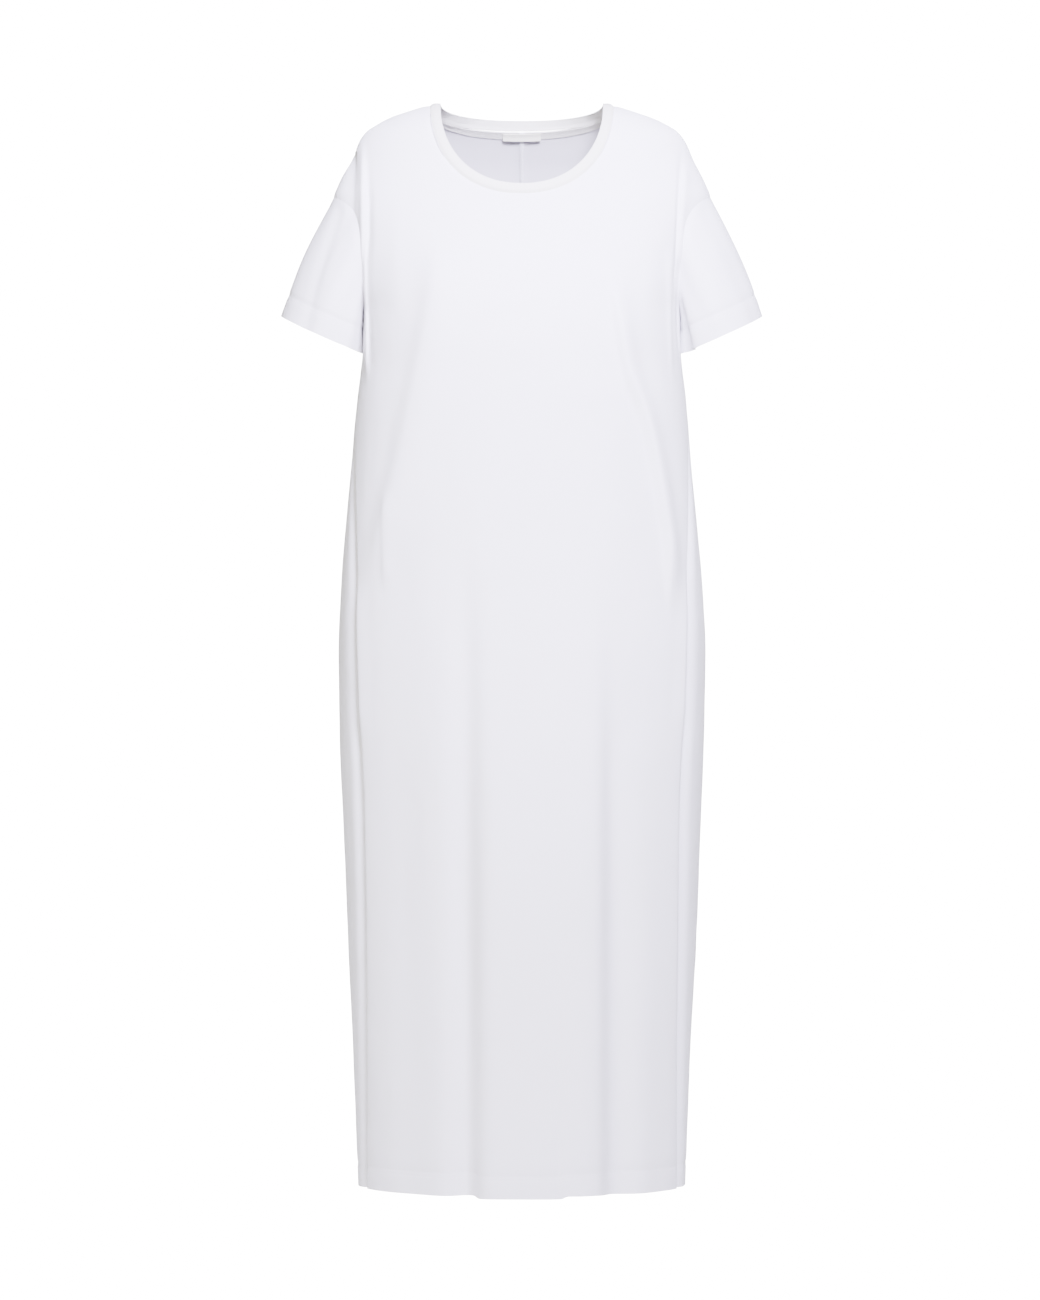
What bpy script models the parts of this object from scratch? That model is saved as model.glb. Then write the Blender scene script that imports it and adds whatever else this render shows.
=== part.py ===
"""Midi dress in white cotton jersey, in its worn form and hollow.

Metres, +Z up. The origin is midway between the two points where neck and shoulder meet,
the front faces -Y, and the wearer's left is +X.
"""

import math
from typing import NamedTuple

import bmesh
import bpy
import numpy as np

# Cloth
WALL = 0.0016
GAP = 0.0003
HEM_DEPTH = 0.025
HEM_WALL = 0.0026
HEM_STEP = 0.003

# Heights from the neck points
LENGTH = 1.208
UNDERARM = -0.235
DROP_SEAM = -0.106

# Cross-sections: how flat the front and back are, and the rows of the dress from the neck down
FLATNESS = 2.3
COLUMNS = ("height", "half_width", "front", "back", "side_roundness")
SECTIONS = (
    (0.000, 0.0905, 0.010, 0.014, 1.7),
    (-0.003, 0.1070, 0.021, 0.034, 1.7),
    (-0.010, 0.1290, 0.034, 0.055, 1.7),
    (-0.017, 0.1480, 0.042, 0.066, 1.7),
    (-0.024, 0.1620, 0.048, 0.073, 1.7),
    (-0.032, 0.1740, 0.054, 0.079, 1.75),
    (-0.044, 0.1830, 0.061, 0.087, 1.8),
    (-0.064, 0.1910, 0.070, 0.098, 1.9),
    (-0.090, 0.2040, 0.079, 0.108, 2.0),
    (-0.108, 0.2100, 0.085, 0.114, 2.1),
    (-0.130, 0.2050, 0.093, 0.119, 2.2),
    (-0.165, 0.1920, 0.105, 0.125, 2.3),
    (-0.200, 0.1800, 0.117, 0.128, 2.4),
    (-0.238, 0.1730, 0.126, 0.129, 2.4),
    (-0.278, 0.1742, 0.131, 0.128, 2.4),
    (-0.300, 0.1793, 0.132, 0.127, 2.4),
    (-0.331, 0.1833, 0.133, 0.125, 2.4),
    (-0.398, 0.1890, 0.133, 0.123, 2.4),
    (-0.465, 0.1955, 0.134, 0.124, 2.35),
    (-0.531, 0.2010, 0.136, 0.129, 2.3),
    (-0.615, 0.2044, 0.138, 0.136, 2.3),
    (-0.698, 0.2033, 0.138, 0.137, 2.3),
    (-0.799, 0.1994, 0.135, 0.134, 2.3),
    (-0.932, 0.1944, 0.130, 0.130, 2.25),
    (-1.066, 0.1880, 0.125, 0.126, 2.2),
    (-1.208, 0.1820, 0.121, 0.123, 2.2),
)

# Neck opening: where the band meets the panels, and the band's free edge
NECK_ROUNDNESS = 2.2
NECK_SEAM_TOP = -0.002
NECK_SEAM_FRONT = 0.1055
NECK_SEAM_BACK = 0.022
NECK_EDGE_TOP = 0.000
NECK_EDGE_FRONT = 0.0965
NECK_EDGE_BACK = 0.012
BAND_WALL = 0.0022
BAND_RISE = 0.0003
NECK_SHARE = 0.5

# Armholes and sleeves
ARMHOLE_HALF_HEIGHT = (DROP_SEAM - UNDERARM) / 2
ARMHOLE_MIDDLE = (DROP_SEAM + UNDERARM) / 2
ARMHOLE_HALF_DEPTH = 0.058
SLEEVE_LAP = 0.0025
CUFF_X = 0.2225
CUFF_HEIGHT = -0.257
CUFF_HALF_WIDTH = 0.050
CUFF_HALF_DEPTH = 0.057
CUFF_TILT = math.radians(24)
CUFF_LEAN = 0.005
SLEEVE_FULLNESS = 0.004

# Side seams run forward of the side, with pocket mouths in them
SIDE_SEAM = (
    (-0.235, 0.0005),
    (-0.330, 0.016),
    (-0.430, 0.044),
    (-0.530, 0.064),
    (-0.620, 0.072),
    (-0.730, 0.074),
    (-0.900, 0.066),
    (-1.060, 0.054),
    (-1.208, 0.042),
)
SEAM_TUCK = 0.0030
SEAM_GAP = 0.0005
SEAM_START = 0.03
SEAM_SINK = WALL + 0.0006
SEAM_RAMP = 0.016
GROOVE = 0.0025
GROOVE_RAMP = 0.020
POCKET_TOP = -0.520
POCKET_LOW = -0.722
POCKET_LIFT = 0.0050
POCKET_SINK = 0.0040
POCKET_RAMP = 0.024
POCKET_END = 0.5

# Neck tape and label, on the inside of the back
TAPE_WIDTH = 0.009
TAPE_WALL = 0.0010
TAPE_GAP = 0.0005
LABEL_HALF_WIDTH = 0.0215
LABEL_HEIGHT = 0.0115
LABEL_WALL = 0.0010

# Small steps for the form's normal, which is undefined just at the side
ANGLE_CLEAR = 0.02
ANGLE_STEP = 0.01
HEIGHT_STEP = 0.001

# Mesh density
FRONT_COLUMNS = 18
BACK_COLUMNS = 16
UPPER_ROWS = 10
LOWER_ROWS = 24
SLEEVE_COLUMNS = 28
SLEEVE_ROWS = 6

# Colours
JERSEY = (0.86, 0.86, 0.88)
RIB = (0.80, 0.77, 0.70)
TAPE = (0.78, 0.75, 0.68)
LABEL = (0.84, 0.82, 0.77)
CLOTH_ROUGHNESS = 0.9


class Fold(NamedTuple):
    """A ridge, or a trough where the rise is negative, from its top to its low end."""

    behind: bool
    top_x: float
    top: float
    low_x: float
    low: float
    bow: float
    top_half: float
    low_half: float
    top_rise: float
    low_rise: float


FOLDS = (
    Fold(False, -0.050, -0.560, -0.049, -1.208, 0.000, 0.015, 0.008, -0.002, -0.010),
    Fold(False, -0.005, -0.600, -0.003, -1.208, 0.000, 0.050, 0.036, 0.001, 0.007),
    Fold(False, -0.080, -0.600, -0.078, -1.208, 0.000, 0.020, 0.015, 0.001, 0.005),
    Fold(False, 0.054, -0.740, 0.056, -1.208, 0.000, 0.010, 0.010, 0.001, 0.005),
    Fold(False, 0.086, -0.680, 0.086, -1.208, 0.000, 0.018, 0.015, -0.001, -0.006),
    Fold(False, -0.106, -0.170, -0.168, -0.480, 0.006, 0.012, 0.010, -0.003, -0.004),
    Fold(False, 0.090, -0.180, 0.164, -0.560, 0.002, 0.012, 0.009, -0.003, -0.004),
    Fold(False, 0.116, -0.240, 0.176, -0.520, 0.002, 0.014, 0.012, 0.002, 0.003),
    Fold(False, -0.158, -0.050, -0.158, -0.262, 0.000, 0.009, 0.008, -0.003, -0.005),
    Fold(False, 0.158, -0.060, 0.154, -0.268, 0.000, 0.009, 0.010, -0.003, -0.005),
    Fold(True, 0.052, -0.600, 0.058, -1.208, 0.004, 0.022, 0.012, -0.001, -0.009),
    Fold(True, 0.010, -0.640, 0.004, -1.208, 0.000, 0.040, 0.026, 0.001, 0.006),
    Fold(True, -0.060, -0.660, -0.072, -1.208, 0.003, 0.020, 0.013, -0.001, -0.008),
    Fold(True, -0.112, -0.560, -0.104, -1.208, 0.000, 0.024, 0.018, 0.001, 0.005),
    Fold(True, 0.118, -0.700, 0.112, -1.208, 0.000, 0.022, 0.016, 0.001, 0.005),
    Fold(True, 0.100, -0.190, 0.166, -0.500, 0.004, 0.013, 0.011, -0.003, -0.004),
    Fold(True, -0.096, -0.210, -0.160, -0.440, 0.004, 0.013, 0.011, -0.003, -0.003),
)
FOLD_FADE = 0.25


def clear_scene():
    for thing in list(bpy.data.objects):
        bpy.data.objects.remove(thing, do_unlink=True)


def ease(share):
    """A soft step from 0 to 1."""
    share = np.clip(share, 0.0, 1.0)
    return share * share * (3 - 2 * share)


def curve_through(places, values, at):
    """A smooth curve through a table's values that never overshoots them."""
    places = np.asarray(places, float)
    values = np.asarray(values, float)
    run = np.diff(places)
    rate = np.diff(values) / run
    same_way = rate[1:] * rate[:-1] > 0
    total = np.where(same_way, rate[1:] + rate[:-1], 1.0)
    inner = np.where(same_way, 2 * rate[1:] * rate[:-1] / total, 0.0)
    slope = np.concatenate(([rate[0]], inner, [rate[-1]]))
    at = np.clip(at, places[0], places[-1])
    k = np.clip(np.searchsorted(places, at) - 1, 0, len(run) - 1)
    h = run[k]
    t = (at - places[k]) / h
    start = (1 + 2 * t) * (1 - t) ** 2 * values[k] + t * (1 - t) ** 2 * h * slope[k]
    end = t * t * (3 - 2 * t) * values[k + 1] + t * t * (t - 1) * h * slope[k + 1]
    return start + end


def section(name, height):
    """One column of the sections, read at any height."""
    rows = SECTIONS[::-1]
    place = [row[0] for row in rows]
    value = [row[COLUMNS.index(name)] for row in rows]
    return curve_through(place, value, height)


def side_seam_forward(height):
    """How far the side seam lies in front of the side."""
    rows = SIDE_SEAM[::-1]
    return curve_through([row[0] for row in rows], [row[1] for row in rows], height)


def form(angle, height):
    """The smooth form: angle 0 is centre front, a right angle the side, a half turn the back."""
    width = section("half_width", height)
    front = section("front", height)
    back = section("back", height)
    side = section("side_roundness", height)
    depth = np.where(np.abs(angle) <= math.pi / 2, -front, back)
    x = np.sign(angle) * width * np.abs(np.sin(angle)) ** (2 / FLATNESS)
    y = depth * np.abs(np.cos(angle)) ** (2 / side)
    return np.stack(np.broadcast_arrays(x, y, height), axis=-1)


def angle_from_depth(forward, height, depth_name):
    """The angle from the centre line at which the form is this deep."""
    share = np.clip(np.abs(forward) / section(depth_name, height), 0.0, 1.0)
    return np.arccos(share ** (section("side_roundness", height) / 2))


def angle_from_width(x, height):
    """The angle from the centre line at which the form is this wide."""
    share = np.clip(np.abs(x) / section("half_width", height), 0.0, 1.0)
    return np.arcsin(share ** (FLATNESS / 2))


def fold_rise(points, behind):
    """How far the folds lift each point off the form."""
    x = points[..., 0]
    z = points[..., 2]
    total = np.zeros(x.shape)
    for fold in FOLDS:
        along = (fold.top - z) / (fold.top - fold.low)
        share = np.clip(along, 0.0, 1.0)
        middle = fold.top_x + (fold.low_x - fold.top_x) * share
        middle = middle + fold.bow * np.sin(math.pi * share)
        half = fold.top_half + (fold.low_half - fold.top_half) * share
        rise = fold.top_rise + (fold.low_rise - fold.top_rise) * share
        fade = ease(along / FOLD_FADE)
        if fold.low > -LENGTH:
            fade = fade * ease((1 - along) / FOLD_FADE)
        one = rise * fade * np.exp(-(((x - middle) / half) ** 2))
        total = total + np.where(behind == fold.behind, one, 0.0)
    return total


def pocket_share(height):
    """1 along the pocket mouth, falling to 0 at both of its ends."""
    middle = (POCKET_TOP + POCKET_LOW) / 2
    half = (POCKET_TOP - POCKET_LOW) / 2
    return ease((1 - np.abs(height - middle) / half) / POCKET_END)


def grid_normals(grid, turn):
    """The unit normals of a grid of points, from the quads round each point."""
    if turn:
        padded = np.concatenate((grid[:, -1:], grid, grid[:, :1]), axis=1)
        across = padded[:, 2:] - padded[:, :-2]
    else:
        across = np.gradient(grid, axis=1)
    up = np.gradient(grid, axis=0)
    normal = np.cross(across, up)
    return normal / np.linalg.norm(normal, axis=-1, keepdims=True)


def wall(name, outer, inner, turn, colour):
    """A closed wall between two grids of points; a turning one closes on itself."""
    rows, columns = outer.shape[:2]
    mesh = bpy.data.meshes.new(name)
    bm = bmesh.new()
    outside = [[bm.verts.new(p) for p in row] for row in outer]
    inside = [[bm.verts.new(p) for p in row] for row in inner]
    spans = columns if turn else columns - 1
    for r in range(rows - 1):
        for c in range(spans):
            d = (c + 1) % columns
            bm.faces.new((outside[r][c], outside[r][d], outside[r + 1][d], outside[r + 1][c]))
            bm.faces.new((inside[r][c], inside[r + 1][c], inside[r + 1][d], inside[r][d]))
    for r in (0, rows - 1):
        for c in range(spans):
            d = (c + 1) % columns
            bm.faces.new((outside[r][c], inside[r][c], inside[r][d], outside[r][d]))
    if not turn:
        for c in (0, columns - 1):
            for r in range(rows - 1):
                e = r + 1
                bm.faces.new((outside[r][c], outside[e][c], inside[e][c], inside[r][c]))
    bmesh.ops.recalc_face_normals(bm, faces=bm.faces)
    bmesh.ops.triangulate(bm, faces=bm.faces)
    bm.to_mesh(mesh)
    bm.free()
    mesh.shade_smooth()
    mesh.set_sharp_from_angle(angle=math.radians(50))
    mesh.materials.append(cloth(name, colour))
    piece = bpy.data.objects.new(name, mesh)
    bpy.context.scene.collection.objects.link(piece)
    return piece


def cloth(name, colour):
    """The piece's own material."""
    material = bpy.data.materials.new(name)
    material.use_nodes = True
    shader = material.node_tree.nodes["Principled BSDF"]
    shader.inputs["Base Color"].default_value = (*colour, 1.0)
    shader.inputs["Roughness"].default_value = CLOTH_ROUGHNESS
    shader.inputs["Metallic"].default_value = 0.0
    return material


def neck_curve(turn_share, top, drop, slack):
    """Half a neckline in x and height: 0 is the centre, 1 the shoulder."""
    phi = turn_share * math.pi / 2
    half_width = section("half_width", top) - slack
    x = half_width * np.sin(phi) ** (2 / NECK_ROUNDNESS)
    height = top - drop * np.cos(phi) ** (2 / NECK_ROUNDNESS)
    return x, height


def shoulder_curve(share):
    """Heights down the shoulder seam at even steps of its length."""
    height = np.linspace(NECK_SEAM_TOP, DROP_SEAM, 200)
    width = section("half_width", height)
    run = np.concatenate(([0.0], np.cumsum(np.hypot(np.diff(width), np.diff(height)))))
    return np.interp(share * run[-1], run, height)


def onto_form(points, depth_name):
    """The angles from the centre line at which rays from the axis through points meet the form."""
    height = points[..., 2]
    wide = (np.abs(points[..., 0]) / section("half_width", height)) ** (FLATNESS / 2)
    deep = np.abs(points[..., 1]) / section(depth_name, height)
    deep = deep ** (section("side_roundness", height) / 2)
    return np.arctan2(wide, deep)


def on_half(angle, height, depth_name):
    """Points of the form's front or back half, by the angle from its centre line."""
    return form(math.pi - angle if depth_name == "back" else angle, height)


def upper_panel(across, up, depth_name):
    """The angle from the centre line, and the height, of points above the underarm.

    across runs from the centre line to the armhole, up from the underarm to neck and shoulder.
    """
    drop = NECK_SEAM_FRONT if depth_name == "front" else NECK_SEAM_BACK
    foot = on_half(across * math.pi / 2, np.full_like(across, UNDERARM), depth_name)

    neck_share = np.clip(across / NECK_SHARE, 0.0, 1.0)
    neck_x, neck_height = neck_curve(neck_share, NECK_SEAM_TOP, drop, 0.0)
    neck_angle = angle_from_width(neck_x, neck_height)
    down = shoulder_curve(np.clip((across - NECK_SHARE) / (1 - NECK_SHARE), 0.0, 1.0))
    seam_angle = angle_from_depth(GAP / 2, down, depth_name)
    on_neck = across < NECK_SHARE
    top_height = np.where(on_neck, neck_height, down)
    top_angle = np.where(on_neck, np.minimum(neck_angle, seam_angle), seam_angle)
    top = on_half(top_angle, top_height, depth_name)

    turn = math.pi * (1 - up)
    arm_height = ARMHOLE_MIDDLE + ARMHOLE_HALF_HEIGHT * np.cos(turn)
    arm_depth = np.maximum(ARMHOLE_HALF_DEPTH * np.sin(turn), GAP / 2)
    arm_angle = angle_from_depth(arm_depth, arm_height, depth_name)
    arm = on_half(arm_angle, arm_height, depth_name)

    neck_low = NECK_SEAM_TOP - drop
    centre_height = UNDERARM + (neck_low - UNDERARM) * up
    centre = on_half(np.zeros_like(up), centre_height, depth_name)

    across = across[..., None]
    up = up[..., None]
    blend = (1 - up) * foot + up * top + (1 - across) * centre + across * arm
    near = (1 - up) * foot[:1, :1] + up * top[-1:, :1]
    far = (1 - up) * foot[:1, -1:] + up * top[-1:, -1:]
    points = blend - (1 - across) * near - across * far
    return onto_form(points, depth_name), points[..., 2]


def lower_heights():
    """Row heights from the hem to the underarm, with rows at the hem's fold."""
    fold = -LENGTH + HEM_DEPTH
    rest = np.linspace(fold + HEM_STEP, UNDERARM, LOWER_ROWS)
    return np.concatenate(([-LENGTH, -LENGTH + HEM_DEPTH / 2, fold], rest[:-1]))


def panel_half(depth_name, columns):
    """The angles and heights of half a panel, from the centre line to the side."""
    across, up = np.meshgrid(np.linspace(0, 1, columns + 1), np.linspace(0, 1, UPPER_ROWS))
    upper_angle, upper_height = upper_panel(across, up, depth_name)
    heights = lower_heights()
    seam_forward = side_seam_forward(heights)
    if depth_name == "back":
        tucked = SEAM_TUCK * ease((UNDERARM - heights) / SEAM_START)
        seam = angle_from_depth(seam_forward + tucked, heights, "front")
        reach = math.pi - seam
    else:
        seam = angle_from_depth(seam_forward + SEAM_GAP, heights, "front")
        reach = seam
    lower_angle = reach[:, None] * np.linspace(0, 1, columns + 1)[None, :]
    lower_height = np.repeat(heights[:, None], columns + 1, axis=1)
    angle = np.concatenate((lower_angle, upper_angle))
    height = np.concatenate((lower_height, upper_height))
    return angle, height


def wall_depth(height):
    """The wall's thickness: the hem is turned up, so it is thicker there."""
    rise = (height + LENGTH - HEM_DEPTH) / HEM_STEP
    return HEM_WALL + (WALL - HEM_WALL) * np.clip(rise, 0.0, 1.0)


def seam_distance(grid, edge_columns):
    """The distance of each point from the side seam along its row."""
    edge = grid[:, edge_columns][:, None, :]
    return np.linalg.norm(grid - edge, axis=-1)


def at_side_seam(height):
    """1 from the underarm down, 0 well above it."""
    return ease((UNDERARM - height) / SEAM_START + 1)


def front_panel():
    """The front, from side seam to side seam."""
    angle, height = panel_half("front", FRONT_COLUMNS)
    angle = np.concatenate((-angle[:, :0:-1], angle), axis=1)
    height = np.concatenate((height[:, :0:-1], height), axis=1)
    base = form(angle, height)
    rise = fold_rise(base, False)
    for edge in (0, -1):
        near = ease(1 - seam_distance(base, edge) / POCKET_RAMP)
        rise = rise + POCKET_LIFT * near * pocket_share(height) * at_side_seam(height)
    normal = grid_normals(base, False)
    outer = base + rise[..., None] * normal
    inner_way = grid_normals(outer, False)
    lay_in_seam_plane(inner_way, (0, -1))
    inner = outer - wall_depth(height)[..., None] * inner_way
    return wall("front", outer, inner, False, JERSEY)


def lay_in_seam_plane(normal, edges):
    """Turns the wall upright in the plane of the shoulder seam, so that the panels meet."""
    half = normal.shape[1] // 2
    columns = range(normal.shape[1])
    top = len(normal) - 1
    for c in columns:
        share = abs(c - half) / half if len(edges) == 2 else c / (normal.shape[1] - 1)
        if share >= NECK_SHARE:
            normal[top, c, 1] = 0.0
    for edge in edges:
        normal[-UPPER_ROWS, edge, 1] = 0.0
    normal /= np.linalg.norm(normal, axis=-1, keepdims=True)


def back_grids(side):
    """Both faces of half the back, from the centre back seam round the side to the front."""
    angle, height = panel_half("back", BACK_COLUMNS)
    base = form(math.pi - angle, height)
    behind = base[..., 1] > 0
    rise = fold_rise(base * (side, 1, 1), behind)
    gone = seam_distance(base, -1)
    sink = SEAM_SINK * ease(1 - (gone - SEAM_TUCK) / SEAM_RAMP)
    sink = sink + GROOVE * ease(1 - gone / GROOVE_RAMP)
    sink = sink + POCKET_SINK * pocket_share(height) * ease(1 - gone / POCKET_RAMP)
    rise = rise - sink * at_side_seam(height)
    outer = base - rise[..., None] * grid_normals(base, False)
    inner_way = -grid_normals(outer, False)
    lay_in_seam_plane(inner_way, (-1,))
    inner_way[:, 0, 0] = 0.0
    inner_way /= np.linalg.norm(inner_way, axis=-1, keepdims=True)
    inner = outer - wall_depth(height)[..., None] * inner_way
    for grid in (outer, inner):
        grid[:, 0, 0] = GAP / 2
        grid[..., 0] *= side
    return outer, inner


def back_panel(name, side):
    """Half of the back, with the centre back seam along its straight edge."""
    outer, inner = back_grids(side)
    return wall(name, outer, inner, False, JERSEY)


def smooth_normal(angle, height):
    """The form's normal beside the given points, by small steps."""
    turned = np.clip(angle, ANGLE_CLEAR, math.pi - ANGLE_CLEAR)
    beside = np.abs(turned - math.pi / 2) < ANGLE_CLEAR
    turned = np.where(beside, math.pi / 2 - ANGLE_CLEAR, turned)
    across = form(turned + ANGLE_STEP, height) - form(turned - ANGLE_STEP, height)
    up = form(turned, height + HEIGHT_STEP) - form(turned, height - HEIGHT_STEP)
    normal = np.cross(across, up)
    return normal / np.linalg.norm(normal, axis=-1, keepdims=True)


def armhole(turn):
    """The ring where a sleeve starts, just outside the panels' edge. turn 0 is the top."""
    height = ARMHOLE_MIDDLE + (ARMHOLE_HALF_HEIGHT + SLEEVE_LAP) * np.cos(turn)
    depth = (ARMHOLE_HALF_DEPTH + SLEEVE_LAP) * np.sin(turn)
    ahead = angle_from_depth(depth, height, "front")
    behind = math.pi - angle_from_depth(depth, height, "back")
    angle = np.where(depth >= 0, ahead, behind)
    base = form(angle, height)
    return base, smooth_normal(angle, height)


def sleeve(name, side):
    """A short sleeve: a tube from the armhole to its hem."""
    turn = np.linspace(0, 2 * math.pi, SLEEVE_COLUMNS, endpoint=False)
    start, start_normal = armhole(turn)
    lifted = fold_rise(start * (side, 1, 1), start[..., 1] > 0)
    start = start + (lifted + GAP + WALL / 2)[:, None] * start_normal
    out = np.array([math.cos(CUFF_TILT), 0.0, math.sin(CUFF_TILT)])
    end = np.array([CUFF_X, 0.0, CUFF_HEIGHT])
    end = end + CUFF_HALF_WIDTH * np.cos(turn)[:, None] * out
    end = end - np.sin(turn)[:, None] * np.array([0.0, CUFF_HALF_DEPTH, CUFF_LEAN])
    length = np.linalg.norm(end - start, axis=1)
    hem_share = 1 - HEM_DEPTH / length
    rows = []
    for share in np.linspace(0, 1, SLEEVE_ROWS):
        rows.append(share * hem_share)
    rows.append(hem_share + HEM_STEP / length)
    rows.append(np.ones_like(length))
    share = np.array(rows)[..., None]
    middle = start + (end - start) * share
    full = SLEEVE_FULLNESS * np.sin(math.pi * share) * (1 + np.cos(turn))[None, :, None] / 2
    normal = grid_normals(middle, True)
    centre = middle.mean(axis=1, keepdims=True)
    if ((middle - centre) * normal).sum() < 0:
        normal = -normal
    middle = middle + full * normal
    thick = np.full(share.shape, WALL)
    thick[-2:] = HEM_WALL
    outer = middle + WALL / 2 * normal
    inner = outer - thick * normal
    for grid in (outer, inner):
        grid[..., 0] *= side
    return wall(name, outer, inner, True, JERSEY)


def neck_ring(top, front_drop, back_drop, slack):
    """A closed neckline on the form, with a point at each column of the panels."""
    front_turn = np.linspace(-math.pi / 2, math.pi / 2, FRONT_COLUMNS + 1)
    back_turn = np.linspace(math.pi / 2, 1.5 * math.pi, BACK_COLUMNS + 1)[1:-1]
    ahead = np.arange(FRONT_COLUMNS + BACK_COLUMNS) <= FRONT_COLUMNS
    turn = np.concatenate((front_turn, back_turn))
    from_centre = np.where(ahead, np.abs(turn), np.abs(math.pi - turn))
    drop = np.where(ahead, front_drop, back_drop)
    x, height = neck_curve(from_centre / (math.pi / 2), top, drop, slack)
    angle = angle_from_width(x, height)
    angle = np.where(ahead, angle, math.pi - angle)
    on_right = np.logical_or(turn < 0, turn > math.pi)
    return np.where(on_right, -angle, angle), height


def neckband():
    """The narrow ribbed band round the neck."""
    slack = GAP * 1.5
    low_angle, low_height = neck_ring(
        NECK_SEAM_TOP + slack / 2, NECK_SEAM_FRONT - slack, NECK_SEAM_BACK - slack, slack
    )
    top_angle, top_height = neck_ring(NECK_EDGE_TOP, NECK_EDGE_FRONT, NECK_EDGE_BACK, 0.0)
    low = form(low_angle, low_height)
    top = form(top_angle, top_height)
    share = np.linspace(0, 1, 4)[:, None, None]
    base = low + (top - low) * share
    normal = grid_normals(base, True)
    centre = base.mean(axis=(0, 1))
    if ((base - centre) * normal).sum() < 0:
        normal = -normal
    outer = base + BAND_RISE * normal
    inner = outer - BAND_WALL * normal
    return wall("neckband", outer, inner, True, RIB)


def inside_neck(distances, clear):
    """Points inside the back neck, this far down from the seam and clear of the panels."""
    columns = int(BACK_COLUMNS * NECK_SHARE) + 1
    left = back_grids(1)[1][-2:, :columns]
    right = back_grids(-1)[1][-2:, columns - 1:0:-1]
    left[:, 0, 0] = 0.0
    below, seam = np.concatenate((right, left), axis=1)
    way = below - seam
    way = way / np.linalg.norm(way, axis=-1, keepdims=True)
    normal = np.cross(way, np.gradient(seam, axis=0))
    normal = normal / np.linalg.norm(normal, axis=-1, keepdims=True)
    points = seam + way * np.array(distances)[:, None, None]
    inward = np.where((normal * seam * (1, 1, 0)).sum(axis=-1, keepdims=True) > 0, -1, 1)
    return points + clear * inward * normal, inward * normal


def neck_tape():
    """The tape over the back neck seam, inside."""
    points, inward = inside_neck((TAPE_GAP, TAPE_WIDTH), TAPE_GAP)
    return wall("neck_tape", points, points + TAPE_WALL * inward, False, TAPE)


def neck_label():
    """The blank label, on the tape."""
    clear = TAPE_GAP + TAPE_WALL + TAPE_GAP
    points, inward = inside_neck((TAPE_GAP, LABEL_HEIGHT), clear)
    near = points[0, :, 0]
    inner = near[np.abs(near) < LABEL_HALF_WIDTH]
    across = np.concatenate(([-LABEL_HALF_WIDTH], inner, [LABEL_HALF_WIDTH]))
    grids = []
    for grid in (points, points + LABEL_WALL * inward):
        rows = [[np.interp(across, near, row[:, axis]) for axis in range(3)] for row in grid]
        grids.append(np.moveaxis(np.array(rows), 1, 2))
    return wall("neck_label", grids[0], grids[1], False, LABEL)


def build():
    clear_scene()
    front_panel()
    back_panel("back_left", 1)
    back_panel("back_right", -1)
    sleeve("sleeve_left", 1)
    sleeve("sleeve_right", -1)
    neckband()
    neck_tape()
    neck_label()


build()
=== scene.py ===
"""White jersey midi dress: fine cloth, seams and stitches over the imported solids, in metres."""
import math
from functools import partial
from typing import NamedTuple

import bpy
import numpy as np
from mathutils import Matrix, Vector, noise


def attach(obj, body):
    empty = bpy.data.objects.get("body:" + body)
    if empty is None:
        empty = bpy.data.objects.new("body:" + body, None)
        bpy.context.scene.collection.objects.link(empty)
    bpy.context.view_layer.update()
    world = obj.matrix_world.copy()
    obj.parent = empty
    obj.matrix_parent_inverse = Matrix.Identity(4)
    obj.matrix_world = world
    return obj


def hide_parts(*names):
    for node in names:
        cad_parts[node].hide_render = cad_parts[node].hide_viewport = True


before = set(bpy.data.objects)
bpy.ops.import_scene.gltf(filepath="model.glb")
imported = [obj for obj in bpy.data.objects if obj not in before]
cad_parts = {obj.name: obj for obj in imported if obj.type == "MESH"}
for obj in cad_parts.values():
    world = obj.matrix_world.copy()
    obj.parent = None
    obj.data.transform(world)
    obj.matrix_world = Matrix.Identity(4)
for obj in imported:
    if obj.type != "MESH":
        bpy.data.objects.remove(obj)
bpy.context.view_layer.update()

# Cloth
CLOTH = 0.0012
HEM_DEPTH = 0.025
HEM_CLOTH = 0.0024
HEM_STEP = 0.0015

# Heights from the neck points
LENGTH = 1.208
UNDERARM = -0.235
DROP_SEAM = -0.106

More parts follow.
